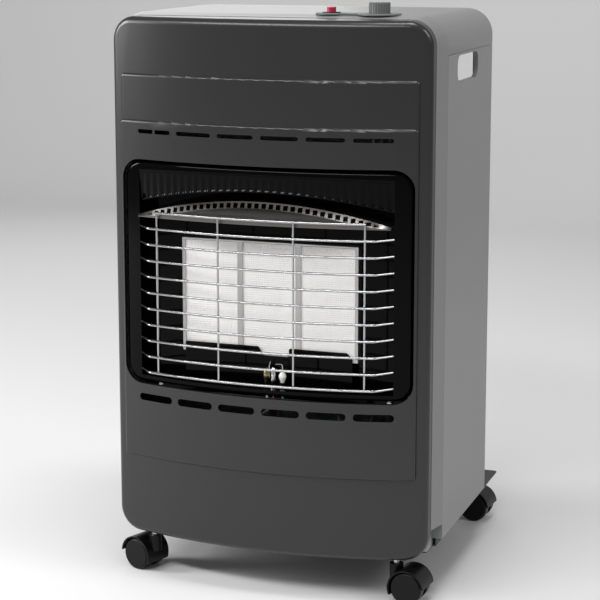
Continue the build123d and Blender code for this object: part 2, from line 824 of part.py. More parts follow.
with BuildPart() as housing_envelope:
    add(
        bowed_form(
            bezel_half,
            bezel_low,
            bezel_high,
            bezel_face_y,
            back_plate_y,
            window_corner - bezel_gap,
            bezel_edge,
        )
    )
with BuildPart() as bezel:
    add(housing_envelope.part)
    add(
        bowed_form(
            bezel_half - housing_sheet,
            bezel_low + housing_sheet,
            bezel_high - housing_sheet,
            bezel_face_y + housing_sheet,
            back_plate_y + housing_sheet,
            window_corner - bezel_gap - housing_sheet,
            bezel_edge - housing_sheet,
        ),
        mode=Mode.SUBTRACT,
    )
    add(
        bowed_layer(bezel_face_y - housing_sheet, bezel_face_y + bezel_return, window_low, window_high),
        mode=Mode.INTERSECT,
    )
with BuildPart() as recess_walls:
    add(recess_form(housing_sheet))
    add(housing_envelope.part, mode=Mode.INTERSECT)
with BuildPart() as burner_housing:
    add(bezel.part)
    add(recess_walls.part)
    add(recess_form(0), mode=Mode.SUBTRACT)
    with BuildSketch(facing(chassis_front_y)):
        with Locations((0, (flange_low + flange_high) / 2)):
            Rectangle(flange_width, flange_high - flange_low)
        with Locations((0, (burner_low + burner_high) / 2)):
            Rectangle(
                2 * (burners_half + burner_gap), burner_high - burner_low + 2 * burner_gap, mode=Mode.SUBTRACT
            )
        with Locations(*housing_screw_places):
            Circle(screw_shank / 2 + screw_hole_gap, mode=Mode.SUBTRACT)
    extrude(amount=housing_sheet)
    with BuildSketch(Plane.XY.offset(recess_low - 2 * housing_sheet)):
        for x, y, diameter in pilot_places:
            with Locations((x, y)):
                Circle(diameter / 2 + screw_hole_gap)
    extrude(amount=3 * housing_sheet, mode=Mode.SUBTRACT)
save(burner_housing, "burner_housing")

# ------------------------------------------------------------ heat hood
# A visor over the burners. Its upper edge is an arch, its lip leans back and carries a row of slots.
hood_half = recess_half - hood_side_gap
hood_middle_y = back_plate_y - hood_reach


def hood_high(share):
    """Height of the hood's arch at a share of its half width."""
    return hood_top_height - (hood_top_height - hood_tip_height) * share**2


def hood_lip(share):
    """Height of the hood's lip at a share of its half width."""
    return min(hood_lip_height, (hood_high(share) - hood_low) * hood_lip_share)


def hood_form(inset):
    """The space under the hood, drawn in by inset from its top and its front."""

    def section(x, share):
        front = hood_middle_y + hood_tip_setback * share**2 + inset
        high = hood_high(share) - inset
        return (
            (back_plate_y, high),
            (front + hood_lip_lean, high),
            (front, high - hood_lip(share)),
            (front, hood_low - inset),
            (back_plate_y, hood_low - inset),
        )

    return lofted_across(hood_half + inset, hood_stations, section)


with BuildPart() as heat_hood:
    add(hood_form(0))
    add(hood_form(hood_sheet), mode=Mode.SUBTRACT)
    for i in range(hood_slot_count):
        x = (i - (hood_slot_count - 1) / 2) * hood_slot_pitch
        lip = hood_lip(x / hood_half)
        with BuildSketch(facing(hood_middle_y + hood_tip_setback)):
            with Locations((x, hood_high(x / hood_half) - lip / 2)):
                Rectangle(hood_slot_width, lip * hood_slot_share)
        extrude(amount=2 * hood_tip_setback, mode=Mode.SUBTRACT)
save(heat_hood, "heat_hood")

# ----------------------------------------------------------- wire guard
# Ten long wires with ends turned back to the recess walls, one short top wire and four uprights, welded.
wire_y = front_y + guard_wire / 2
wire_radius = bow_centre_y - wire_y
upright_set = (guard_wire + guard_upright) / 2 - guard_weld


def long_wire(height):
    """One long guard wire: a bow in the middle and two straight ends, trimmed at the recess walls."""
    lean = degrees(asin(guard_bow_half / wire_radius))
    turn = guard_end_angle - lean
    bow_end_y = bow_y(wire_y, guard_bow_half)
    with BuildPart() as wire:
        with BuildLine(Plane.XY.offset(height)) as path:
            bow = ThreePointArc((-guard_bow_half, bow_end_y), (0, wire_y), (guard_bow_half, bow_end_y))
            right_bend = JernArc(bow @ 1, bow % 1, guard_bend, turn)
            PolarLine(right_bend @ 1, guard_end, guard_end_angle)
            left_bend = JernArc(bow @ 0, -(bow % 0), guard_bend, -turn)
            PolarLine(left_bend @ 1, guard_end, 180 - guard_end_angle)
        wire_line = path.wires()[0]
        with BuildSketch(Plane(origin=wire_line @ 0, z_dir=wire_line % 0)):
            Circle(guard_wire / 2)
        sweep(path=wire_line)
        with BuildSketch(Plane.XY.offset(height - guard_wire)):
            Rectangle(recess_width, total_depth)
        extrude(amount=2 * guard_wire, mode=Mode.INTERSECT)
    return wire.part


with BuildPart() as wire_guard:
    for i in range(guard_rows):
        add(long_wire(guard_low + i * guard_pitch))
    with BuildLine(Plane.XY.offset(guard_top)) as top_path:
        top_half = max(guard_upright_places) + guard_upright / 2
        top_end_y = bow_y(wire_y, top_half)
        ThreePointArc((-top_half, top_end_y), (0, wire_y), (top_half, top_end_y))
    with BuildSketch(Plane(origin=top_path.line @ 0, z_dir=top_path.line % 0)):
        Circle(guard_wire / 2)
    sweep(path=top_path.line)
    with BuildSketch(Plane.XY.offset(guard_low - guard_wire / 2)):
        for x in guard_upright_places:
            with Locations((x, bow_y(wire_y, x) + upright_set / cos(asin(x / wire_radius)))):
                Circle(guard_upright / 2)
    extrude(amount=guard_top - guard_low + guard_wire)
save(wire_guard, "wire_guard")

# -------------------------------------------------------------- burners
# Three sheet-steel burner boxes side by side, each with a mixer tube below and a ceramic plaque in its front.
mixer_y = pipe_plane_y
burner_back_y = burner_front_y + burner_depth
burner_places = [(i - (burner_count - 1) / 2) * burner_pitch for i in range(burner_count)]
burner_sides = ("left", "middle", "right")
burner_inside_width = burner_width - 2 * burner_sheet
burner_inside_height = burner_high - burner_low - 2 * burner_sheet

for side, x in zip(burner_sides, burner_places):
    with BuildPart() as burner:
        with BuildSketch(facing(burner_back_y)):
            with Locations((x, (burner_low + burner_high) / 2)):
                Rectangle(burner_width, burner_high - burner_low)
        extrude(amount=burner_depth)
        with BuildSketch(facing(chassis_front_y + burner_sheet)):
            with Locations((x, (burner_low + burner_high) / 2)):
                Rectangle(burner_width, burner_high - burner_low + 2 * burner_tab)
        extrude(amount=burner_sheet)
        with Locations((x, mixer_y, burner_low - mixer_length / 2)):
            Cylinder(mixer_diameter / 2, mixer_length)
        with Locations((x, mixer_y, burner_low - mixer_length + mixer_flare / 2)):
            Cone(mixer_mouth / 2, mixer_diameter / 2, mixer_flare)
        with Locations((x, mixer_y, burner_low - mixer_length / 2 + burner_sheet)):
            Cylinder(mixer_diameter / 2 - burner_sheet, mixer_length + 4 * burner_sheet, mode=Mode.SUBTRACT)
        with Locations((x, mixer_y, burner_low - mixer_length + mixer_flare / 2)):
            Cone(
                mixer_mouth / 2 - burner_sheet,
                mixer_diameter / 2 - burner_sheet,
                mixer_flare,
                mode=Mode.SUBTRACT,
            )
        with BuildSketch(facing(burner_back_y - burner_sheet)):
            with Locations((x, (burner_low + burner_high) / 2)):
                Rectangle(burner_inside_width - 2 * plaque_ledge, burner_inside_height - 2 * plaque_ledge)
        extrude(amount=burner_depth, mode=Mode.SUBTRACT)
        with BuildSketch(facing(burner_back_y - burner_sheet)):
            with Locations((x, (burner_low + burner_high) / 2)):
                Rectangle(burner_inside_width, burner_inside_height)
        extrude(amount=burner_depth - plaque_thickness - 2 * burner_sheet, mode=Mode.SUBTRACT)
        with BuildSketch(facing(burner_front_y + plaque_thickness)):
            with Locations((x, (burner_low + burner_high) / 2)):
                Rectangle(burner_inside_width, burner_inside_height)
        extrude(amount=2 * plaque_thickness, mode=Mode.SUBTRACT)
    save(burner, f"burner_{side}")

    with BuildPart() as plaque:
        with BuildSketch(facing(burner_front_y + plaque_thickness)):
            with Locations((x, (burner_low + burner_high) / 2)):
                Rectangle(
                    burner_inside_width - 2 * plaque_clearance, burner_inside_height - 2 * plaque_clearance
                )
        extrude(amount=plaque_thickness)
    save(plaque, f"plaque_{side}")

# --------------------------------------------------------- plaque frame
# A pressed frame over the edges of the three plaques, with a strip over each joint.
frame_half = burners_half + burner_gap + frame_sheet
frame_low = burner_low - burner_gap - frame_sheet
frame_high = burner_high + burner_gap + frame_sheet
frame_middle = (frame_low + frame_high) / 2
frame_windows = (
    (-frame_half + frame_bar, -burner_pitch / 2 - frame_strip / 2),
    (-burner_pitch / 2 + frame_strip / 2, burner_pitch / 2 - frame_strip / 2),
    (burner_pitch / 2 + frame_strip / 2, frame_half - frame_bar),
)
with BuildPart() as plaque_frame:
    with BuildSketch(facing(back_plate_y)):
        with Locations((0, frame_middle)):
            Rectangle(2 * frame_half, frame_high - frame_low)
    extrude(amount=back_plate_y - burner_front_y + frame_sheet)
    with BuildSketch(facing(back_plate_y)):
        with Locations((0, frame_middle)):
            Rectangle(2 * (frame_half - frame_sheet), frame_high - frame_low - 2 * frame_sheet)
    extrude(amount=back_plate_y - burner_front_y, mode=Mode.SUBTRACT)
    with BuildSketch(facing(back_plate_y)):
        for left, right in frame_windows:
            with Locations(((left + right) / 2, frame_middle)):
                Rectangle(right - left, frame_high - frame_low - 2 * frame_edge)
    extrude(amount=2 * (back_plate_y - burner_front_y), mode=Mode.SUBTRACT)
save(plaque_frame, "plaque_frame")

# --------------------------------------------------------- pilot shield
# A black strip in front of the plaques' lower edge, notched for the pilot flame, with a foot on the floor.
shield_back_y = burner_front_y - frame_sheet
with BuildPart() as pilot_shield:
    with BuildSketch(facing(shield_back_y)):
        with BuildSketch(mode=Mode.PRIVATE) as plate_outline:
            with BuildLine():
                Polyline(
                    (-shield_left, recess_low),
                    (-shield_left, shield_top),
                    (notch_place - notch_width / 2 - shield_slope, shield_top),
                    (notch_place - notch_width / 2, notch_low),
                    (notch_place + notch_width / 2, notch_low),
                    (notch_place + notch_width / 2, shield_top),
                    (shield_right - shield_slope, shield_top),
                    (shield_right, shield_top - shield_slope),
                    (shield_right, recess_low),
                    close=True,
                )
            make_face()
            upper = plate_outline.vertices().filter_by(lambda v: v.Y > notch_low + shield_sheet)
            fillet(upper, shield_corner)
            notch = plate_outline.vertices().filter_by(lambda v: abs(v.Y - notch_low) < shield_sheet)
            fillet(notch, notch_corner)
        add(plate_outline.sketch)
    extrude(amount=shield_sheet)
    with BuildSketch(Plane.XY.offset(recess_low)):
        with Locations(((shield_right - shield_left) / 2, shield_back_y + shield_foot / 2)):
            Rectangle(shield_left + shield_right, shield_foot)
    extrude(amount=shield_sheet)
save(pilot_shield, "pilot_shield")

# --------------------------------------------------- injectors and rail
# A folded rail under the lower beam carries one brass injector below each mixer tube.
injector_places = [(x, pipe_plane_y) for x in burner_places]
rail_front_y = chassis_front_y
rail_top = lower_beam_low
with BuildPart() as injector_rail:
    with BuildSketch(Plane.XY.offset(rail_top - rail_sheet)):
        with Locations((0, rail_front_y + rail_depth / 2)):
            Rectangle(rail_width, rail_depth)
        with Locations(*injector_places):
            Circle(injector_shank / 2 + screw_hole_gap, mode=Mode.SUBTRACT)
    extrude(amount=rail_sheet)
    with BuildSketch(Plane.XY.offset(rail_top - rail_sheet)):
        with Locations((0, rail_front_y + rail_depth - rail_sheet / 2)):
            Rectangle(rail_width, rail_sheet)
    extrude(amount=rail_upstand)
save(injector_rail, "injector_rail")

with BuildPart() as injectors:
    for x, y in injector_places:
        with BuildSketch(Plane.XY.offset(rail_top)):
            with Locations((x, y)):
                RegularPolygon(injector_width / 2, 6, major_radius=False)
        extrude(amount=injector_head)
        with Locations((x, y, rail_top + injector_height / 2)):
            Cylinder(injector_tip / 2, injector_height)
        with Locations((x, y, rail_top - injector_below / 2)):
            Cylinder(injector_shank / 2, injector_below)
        with Locations((x, y, rail_top)):
            Cylinder(injector_bore / 2, 4 * injector_height, mode=Mode.SUBTRACT)
save(injectors, "injectors")

# ---------------------------------------------------------- pilot group
# A brass pilot burner, a thermocouple and a spark electrode stand side by side on the recess floor.
floor_low = recess_low - housing_sheet
with BuildPart() as pilot_burner:
    with BuildSketch(Plane.XY.offset(recess_low)):
        with Locations((pilot_x, pilot_y)):
            RegularPolygon(pilot_diameter / 2, 6, major_radius=False)
    extrude(amount=pilot_hex_height)
    with Locations((pilot_x, pilot_y, recess_low + pilot_height / 2)):
        Cylinder(pilot_shank / 2, pilot_height)
    with Locations((pilot_x, pilot_y, floor_low - pilot_below / 2 + housing_sheet / 2)):
        Cylinder(pilot_shank / 2, pilot_below + housing_sheet)
    with Locations((pilot_x, pilot_y, recess_low + pilot_height)):
        Cylinder(pilot_shank / 2 - burner_sheet, pilot_height, mode=Mode.SUBTRACT)
save(pilot_burner, "pilot_burner")

with BuildPart() as spark_electrode:
    with Locations((electrode_x, electrode_y, recess_low + electrode_height / 2)):
        Cylinder(electrode_diameter / 2, electrode_height)
    with Locations((electrode_x, electrode_y, floor_low - pilot_below / 2 + housing_sheet / 2)):
        Cylinder(pilot_shank / 2, pilot_below + housing_sheet)
    with BuildLine(Plane(origin=(0, electrode_y, 0), x_dir=(1, 0, 0), z_dir=(0, -1, 0))) as wire_path:
        FilletPolyline(
            (electrode_x, recess_low + electrode_height - burner_sheet),
            (electrode_x, recess_low + electrode_tip_height),
            (electrode_tip_x, recess_low + electrode_tip_height),
            (electrode_tip_x, recess_low + electrode_tip_height - electrode_wire),
            radius=electrode_wire / 2 + running_gap,
        )
    with BuildSketch(Plane(origin=wire_path.wires()[0] @ 0, z_dir=wire_path.wires()[0] % 0)):
        Circle(electrode_wire / 2)
    sweep(path=wire_path.wires()[0])
save(spark_electrode, "spark_electrode")


def pipe(points, bend, diameter):
    """A round bar along straight runs joined by tangent bends."""
    stations = [Vector(*point) for point in points]
    with BuildPart() as bar:
        with BuildLine() as path:
            start = stations[0]
            for before, corner, after in zip(stations, stations[1:], stations[2:]):
                come = (corner - before).normalized()
                leave = (after - corner).normalized()
                half_turn = radians(come.get_angle(leave)) / 2
                to_middle = (leave - come).normalized()
                bend_start = corner - come * (bend * tan(half_turn))
                bend_end = corner + leave * (bend * tan(half_turn))
                bend_middle = corner + to_middle * (bend / cos(half_turn) - bend)
                Line(start, bend_start)
                ThreePointArc(bend_start, bend_middle, bend_end)
                start = bend_end
            Line(start, stations[-1])
        with BuildSketch(Plane(origin=path.wires()[0] @ 0, z_dir=path.wires()[0] % 0)):
            Circle(diameter / 2)
        sweep(path=path.wires()[0])
    return bar.part


# ------------------------------------------------------------ gas valve
# A die-cast body under the top, with a spindle bore, ports for the pipes below and a hose tail behind.
valve_x = knob_x + valve_offset
valve_back_y = control_y + valve_depth / 2
port_low = valve_low - valve_port_height
pipe_ports = [(x, pipe_plane_y, pipe_diameter + 2 * valve_boss_wall) for x in pipe_lanes]
pipe_ports.append((pilot_lane, pipe_plane_y, pilot_pipe_diameter + valve_boss_wall))
pipe_ports.append((thermo_lead_lane, pipe_plane_y, thermo_lead_diameter + valve_boss_wall))
spindle_low = top_height + knob_top - knob_height + spindle_into_knob - spindle_length
with BuildPart() as gas_valve:
    with BuildSketch(Plane.XY.offset(valve_low)):
        with Locations((valve_x, control_y)):
            RectangleRounded(valve_width, valve_depth, valve_edge)
    extrude(amount=valve_height)
    with BuildSketch(Plane.XY.offset(port_low)):
        for x, y, diameter in pipe_ports:
            with Locations((x, y)):
                Circle(diameter / 2)
    extrude(amount=valve_port_height)
    with BuildSketch(Plane.XY.offset(spindle_low - knob_travel - bore_gap)):
        with Locations((knob_x, control_y)):
            Circle(spindle_diameter / 2 + running_gap)
    extrude(amount=valve_height, mode=Mode.SUBTRACT)
save(gas_valve, "gas_valve")

# A channel with two feet welded to the underside of the top carries the valve.
bracket_left = valve_x - valve_width / 2 - bracket_overlap
bracket_right = valve_x + valve_width / 2 + bracket_overlap
under_top = top_height - casing_sheet
with BuildPart() as valve_bracket:
    with BuildSketch(facing(control_y + valve_depth / 2)):
        with BuildLine():
            Polyline(
                (bracket_left - bracket_foot, under_top),
                (bracket_left + bracket_sheet, under_top),
                (bracket_left + bracket_sheet, valve_top + bracket_sheet),
                (bracket_right - bracket_sheet, valve_top + bracket_sheet),
                (bracket_right - bracket_sheet, under_top),
                (bracket_right + bracket_foot, under_top),
                (bracket_right + bracket_foot, under_top - bracket_sheet),
                (bracket_right, under_top - bracket_sheet),
                (bracket_right, valve_top),
                (bracket_left, valve_top),
                (bracket_left, under_top - bracket_sheet),
                (bracket_left - bracket_foot, under_top - bracket_sheet),
                close=True,
            )
        make_face()
    extrude(amount=valve_depth)
    with BuildSketch(Plane.XY.offset(valve_top)):
        with Locations((knob_x, control_y)):
            Circle(bracket_hole / 2)
    extrude(amount=bracket_sheet, mode=Mode.SUBTRACT)
    with BuildSketch(facing(band_back_y)):
        with Locations((valve_x, valve_top + bracket_sheet + valve_drop / 2)):
            Rectangle(cabinet_width, valve_drop)
    extrude(amount=valve_depth, mode=Mode.SUBTRACT)
save(valve_bracket, "valve_bracket")

# --------------------------------------------------------------- controls
# The knob is pushed down and turned. The spindle turns with it, and the collar only moves up and down.
knob_low = top_height + knob_top - knob_height
shoulder_high = valve_top + bracket_sheet + knob_travel + shoulder_height
with BuildPart() as valve_spindle:
    with Locations((knob_x, control_y, spindle_low + spindle_length / 2)):
        Cylinder(spindle_diameter / 2, spindle_length)
    with Locations((knob_x, control_y, shoulder_high - shoulder_height / 2)):
        Cylinder(shoulder_diameter / 2, shoulder_height)
    with BuildSketch(Plane.XY.offset(knob_low)):
        with Locations((knob_x, control_y + spindle_diameter - spindle_flat)):
            Rectangle(spindle_diameter, spindle_diameter)
    extrude(amount=spindle_into_knob, mode=Mode.SUBTRACT)
save(valve_spindle, "valve_spindle")

with BuildPart() as spindle_collar:
    with Locations((knob_x, control_y, shoulder_high + collar_end_gap + collar_height / 2)):
        Cylinder(collar_diameter / 2, collar_height)
        Cylinder(spindle_diameter / 2 + running_gap, 2 * collar_height, mode=Mode.SUBTRACT)
save(spindle_collar, "spindle_collar")

with BuildPart() as control_knob:
    with BuildSketch(Plane.XY.offset(knob_low)):
        with Locations((knob_x, control_y)):
            Circle(knob_diameter / 2)
            with PolarLocations(knob_diameter / 2 + knob_rib_set, knob_ribs):
                Circle(knob_rib, mode=Mode.SUBTRACT)
    extrude(amount=knob_height)
    chamfer(control_knob.faces().sort_by(Axis.Z)[-1].edges(), knob_edge)
    with BuildSketch(Plane.XY.offset(knob_low + knob_height)):
        with Locations((knob_x, control_y - knob_diameter / 4)):
            Rectangle(knob_pointer, knob_diameter / 4)
    extrude(amount=-knob_pointer / 2, mode=Mode.SUBTRACT)
    with BuildSketch(Plane.XY.offset(knob_low)):
        with Locations((knob_x, control_y)):
            Circle(spindle_diameter / 2)
        with Locations((knob_x, control_y + spindle_diameter - spindle_flat)):
            Rectangle(spindle_diameter, spindle_diameter, mode=Mode.SUBTRACT)
    extrude(amount=spindle_into_knob, mode=Mode.SUBTRACT)
save(control_knob, "control_knob")

with BuildPart() as escutcheon:
    with BuildSketch(Plane.XY.offset(top_height)):
        with Locations((knob_x, control_y)):
            Circle(escutcheon_knob_radius)
        with Locations((button_x, control_y)):
            Circle(escutcheon_button_radius)
        with Locations(((knob_x + button_x) / 2, control_y)):
            Rectangle(knob_x - button_x, escutcheon_bar)
        with Locations((knob_x, control_y)):
            Circle(knob_diameter / 2 + knob_gap, mode=Mode.SUBTRACT)
        with Locations((button_x, control_y)):
            Circle(piezo_diameter / 2 + screw_hole_gap, mode=Mode.SUBTRACT)
    extrude(amount=escutcheon_thickness)
    chamfer(escutcheon.faces().sort_by(Axis.Z)[-1].outer_wire().edges(), escutcheon_edge)
save(escutcheon, "escutcheon")

# The igniter drops in from above: a thin flange on the escutcheon, a threaded neck, and the body below a nut.
neck_top = top_height + escutcheon_thickness
button_bore = button_diameter / 2 + running_gap
button_low = top_height + button_top - button_length
with BuildPart() as piezo_igniter:
    with Locations((button_x, control_y, neck_top + piezo_flange_height / 2)):
        Cylinder(piezo_flange / 2, piezo_flange_height)
    with Locations((button_x, control_y, neck_top - piezo_neck / 2)):
        Cylinder(piezo_diameter / 2, piezo_neck)
    with Locations((button_x, control_y, neck_top - piezo_length / 2)):
        Cylinder(piezo_diameter / 2 - burner_sheet, piezo_length)
    with BuildSketch(Plane.XY.offset(button_low - button_travel - bore_gap)):
        with Locations((button_x, control_y)):
            Circle(button_bore)
    extrude(amount=button_length + button_travel, mode=Mode.SUBTRACT)
save(piezo_igniter, "piezo_igniter")

with BuildPart() as piezo_nut:
    with BuildSketch(Plane.XY.offset(under_top - piezo_nut_drop - piezo_nut_height)):
        with Locations((button_x, control_y)):
            RegularPolygon(piezo_nut_width / 2, 6, major_radius=False)
            Circle(piezo_diameter / 2, mode=Mode.SUBTRACT)
    extrude(amount=piezo_nut_height)
save(piezo_nut, "piezo_nut")

with BuildPart() as ignition_button:
    with Locations((button_x, control_y, button_low + button_length / 2)):
        Cylinder(button_diameter / 2, button_length)
    fillet(ignition_button.faces().sort_by(Axis.Z)[-1].edges(), button_edge)
save(ignition_button, "ignition_button")

# ------------------------------------------------------------------ pipes
# Three supply pipes, the pilot pipe, the thermocouple and its copper lead, and the high-voltage lead.
injector_low = rail_top - injector_below
pilot_low = floor_low - pilot_below
with BuildPart() as supply_pipes:
    for lane, run, place in zip(pipe_lanes, run_heights, reversed(injector_places)):
        x, y = place
        stations = ((lane, y, port_low), (lane, y, run), (x, y, run), (x, y, injector_low))
        add(pipe(stations, pipe_bend, pipe_diameter))
save(supply_pipes, "supply_pipes")

with BuildPart() as pilot_pipe:
    add(
        pipe(
            (
                (pilot_lane, pipe_plane_y, port_low),
                (pilot_lane, pipe_plane_y, pilot_run_height),
                (pilot_x, pipe_plane_y, pilot_run_height),
                (pilot_x, pilot_y, pilot_run_height),
                (pilot_x, pilot_y, pilot_low),
            ),
            pipe_bend,
            pilot_pipe_diameter,
        )
    )
save(pilot_pipe, "pilot_pipe")

with BuildPart() as thermocouple:
    with BuildSketch(Plane.XY.offset(pilot_low)):
        with Locations((thermocouple_x, pilot_y)):
            Circle(thermocouple_diameter / 2)
    extrude(amount=recess_low + thermocouple_height - pilot_low)
    fillet(thermocouple.faces().sort_by(Axis.Z)[-1].edges(), thermocouple_tip)
    with BuildSketch(Plane.XY.offset(recess_low)):
        with Locations((thermocouple_x, pilot_y)):
            Circle(thermocouple_collar / 2)
    extrude(amount=thermocouple_collar)
save(thermocouple, "thermocouple")

with BuildPart() as thermocouple_lead:
    add(
        pipe(
            (
                (thermo_lead_lane, pipe_plane_y, port_low),
                (thermo_lead_lane, pipe_plane_y, thermo_lead_run_height),
                (thermocouple_x, pipe_plane_y, thermo_lead_run_height),
                (thermocouple_x, pilot_y, thermo_lead_run_height),
                (thermocouple_x, pilot_y, pilot_low),
            ),
            pipe_bend,
            thermo_lead_diameter,
        )
    )
save(thermocouple_lead, "thermocouple_lead")

with BuildPart() as ignition_lead:
    add(
        pipe(
            (
                (button_x, control_y, neck_top - piezo_length),
                (button_x, control_y, neck_top - piezo_length - lead_drop),
                (lead_lane, control_y, neck_top - piezo_length - lead_drop),
                (lead_lane, control_y, lead_run_height),
                (lead_left, control_y, lead_run_height),
                (lead_left, electrode_y, lead_run_height),
                (lead_left, electrode_y, lead_rise),
                (electrode_x, electrode_y, pilot_low - lead_straight),
                (electrode_x, electrode_y, pilot_low),
            ),
            pipe_bend / 2,
            lead_diameter,
        )
    )
save(ignition_lead, "ignition_lead")

hose_start = Plane(origin=(hose_tail_x, valve_back_y, hose_tail_height), z_dir=(0, 1, 0))
hex_set = heat_shield_y + 2 * heat_shield_sheet - valve_back_y
with BuildPart() as hose_tail:
    with BuildSketch(hose_start):
        Circle(hose_spigot_radius)
    extrude(amount=hex_set)
    with BuildSketch(hose_start.offset(hex_set)):
        RegularPolygon(hose_tail_hex / 2, 6, major_radius=False)
    extrude(amount=hose_tail_hex / 2)
    with BuildSketch(hose_start.offset(hex_set + hose_tail_hex / 2)):
        Circle(hose_tail_radius)
    extrude(amount=hose_tail_length - hex_set - hose_tail_hex / 2)
    with BuildSketch(hose_start):
        Circle(hose_tail_bore)
    extrude(amount=hose_tail_length, mode=Mode.SUBTRACT)
save(hose_tail, "hose_tail")

# ---------------------------------------------------------------- casters
# Four twin-wheel casters. Each socket sits in the base plate; stem, hood and axle swivel together in it.
plate_low = plate_top - plate_sheet
with BuildPart() as caster_sockets:
    with BuildSketch(Plane.XY.offset(plate_low - socket_flange_thickness)):
        with Locations(*caster_places):
            Circle(socket_flange / 2)
    extrude(amount=socket_flange_thickness)
    with BuildSketch(Plane.XY.offset(plate_low - socket_flange_thickness)):
        with Locations(*caster_places):
            Circle(socket_diameter / 2)
    extrude(amount=socket_high - plate_low + socket_flange_thickness)
    with BuildSketch(Plane.XY.offset(plate_low - 2 * socket_flange_thickness)):
        with Locations(*caster_places):
            Circle(stem_diameter / 2 + running_gap)
    extrude(amount=socket_high, mode=Mode.SUBTRACT)
save(caster_sockets, "caster_sockets")

wheel_radius = wheel_diameter / 2
fender_radius = wheel_radius + fender_gap + fender_sheet
web_half = web_width / 2
across_wheels = Plane(origin=(caster_trail, 0, wheel_radius), x_dir=(1, 0, 0), z_dir=(0, -1, 0))
shoulder_low = plate_low - socket_flange_thickness - collar_end_gap - stem_shoulder_height

with BuildPart() as caster_stem:
    with Locations((0, 0, (stem_low + stem_high) / 2)):
        Cylinder(stem_diameter / 2, stem_high - stem_low)
    with Locations((0, 0, shoulder_low + stem_shoulder_height / 2)):
        Cylinder(stem_shoulder / 2, stem_shoulder_height)

with BuildPart() as caster_hood:
    with BuildSketch(across_wheels.offset(-fender_width / 2)):
        Circle(fender_radius)
        with Locations((0, -fender_radius - fender_lower)):
            Rectangle(4 * fender_radius, 2 * fender_radius, mode=Mode.SUBTRACT)
        with Locations((fender_radius + fender_cut, fender_end - fender_radius)):
            Rectangle(2 * fender_radius, 2 * fender_radius, mode=Mode.SUBTRACT)
    extrude(amount=fender_width)
    with BuildSketch(Plane.XY.offset(stem_low)):
        Circle(boss_diameter / 2)
    extrude(amount=fender_top - stem_low)
    with BuildSketch(across_wheels.offset(-fender_width)):
        Circle(wheel_radius + fender_gap)
    extrude(amount=2 * fender_width, mode=Mode.SUBTRACT)
    with BuildSketch(across_wheels.offset(-web_half)):
        Circle(wheel_radius + 2 * fender_gap)
        with Locations((0, -fender_radius - fender_lower)):
            Rectangle(4 * fender_radius, 2 * fender_radius, mode=Mode.SUBTRACT)
        with Locations((fender_radius + wheel_hub / 2, fender_end - fender_radius)):
            Rectangle(2 * fender_radius, 2 * fender_radius, mode=Mode.SUBTRACT)
        Circle(wheel_hub / 2)
    extrude(amount=web_width)
    with BuildSketch(Plane.XY.offset(stem_low)):
        Circle(stem_diameter / 2)
    extrude(amount=fender_top, mode=Mode.SUBTRACT)
    with BuildSketch(across_wheels.offset(-fender_width)):
        Circle(axle_diameter / 2)
    extrude(amount=2 * fender_width, mode=Mode.SUBTRACT)

with BuildPart() as caster_axle:
    axle_half = web_half + wheel_gap + wheel_width - axle_end_gap
    with BuildSketch(across_wheels.offset(-axle_half)):
        Circle(axle_diameter / 2)
    extrude(amount=2 * axle_half)

with BuildPart() as caster_wheel:
    with BuildSketch(across_wheels.offset(web_half + wheel_gap)):
        Circle(wheel_radius)
    extrude(amount=wheel_width)
    fillet(caster_wheel.faces().sort_by(Axis.Y)[0].edges(), wheel_edge)
    with BuildSketch(across_wheels.offset(web_half + wheel_gap)):
        Circle(wheel_radius - wheel_rim)
        Circle(wheel_hub / 2, mode=Mode.SUBTRACT)
    extrude(amount=wheel_width - wheel_disc, mode=Mode.SUBTRACT)
    with BuildSketch(across_wheels.offset(web_half + wheel_gap)):
        Circle(axle_diameter / 2 + running_gap)
    extrude(amount=wheel_width - axle_end_gap + wheel_gap, mode=Mode.SUBTRACT)

with BuildPart() as other_wheel:
    add(caster_wheel.part)
    mirror(about=Plane.XZ, mode=Mode.REPLACE)

caster_pieces = (
    ("stem", caster_stem.part),
    ("hood", caster_hood.part),
    ("axle", caster_axle.part),
    ("wheel_a", caster_wheel.part),
    ("wheel_b", other_wheel.part),
)
for corner, place in zip(("front_left", "front_right", "rear_left", "rear_right"), caster_places):
    for piece_name, piece in caster_pieces:
        with BuildPart() as placed:
            with Locations(Location((place[0], place[1], 0), (0, 0, caster_headings[corner]))):
                add(piece)
        save(placed, f"caster_{corner}_{piece_name}")

# ----------------------------------------------------------------- screws
# All the sheet-metal screws are alike: a flat round head and a plain shank.
screw_seats = [(facing(side_back_y), -1, skirt_screw_places)]
screw_seats.append((facing(heat_shield_y + heat_shield_sheet), -1, shield_screw_places))
screw_seats.append((facing(back_plate_y), 1, housing_screw_places))
with BuildPart() as casing_screws:
    for seat, outward, places in screw_seats:
        with BuildSketch(seat):
            with Locations(*places):
                Circle(screw_head / 2)
        extrude(amount=outward * screw_head_height)
        with BuildSketch(seat):
            with Locations(*places):
                Circle(screw_shank / 2)
        extrude(amount=-outward * screw_length)
save(casing_screws, "casing_screws")
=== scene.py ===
from math import cos, pi, radians, sin, sqrt

import bmesh
import bpy
from mathutils import Matrix, Vector


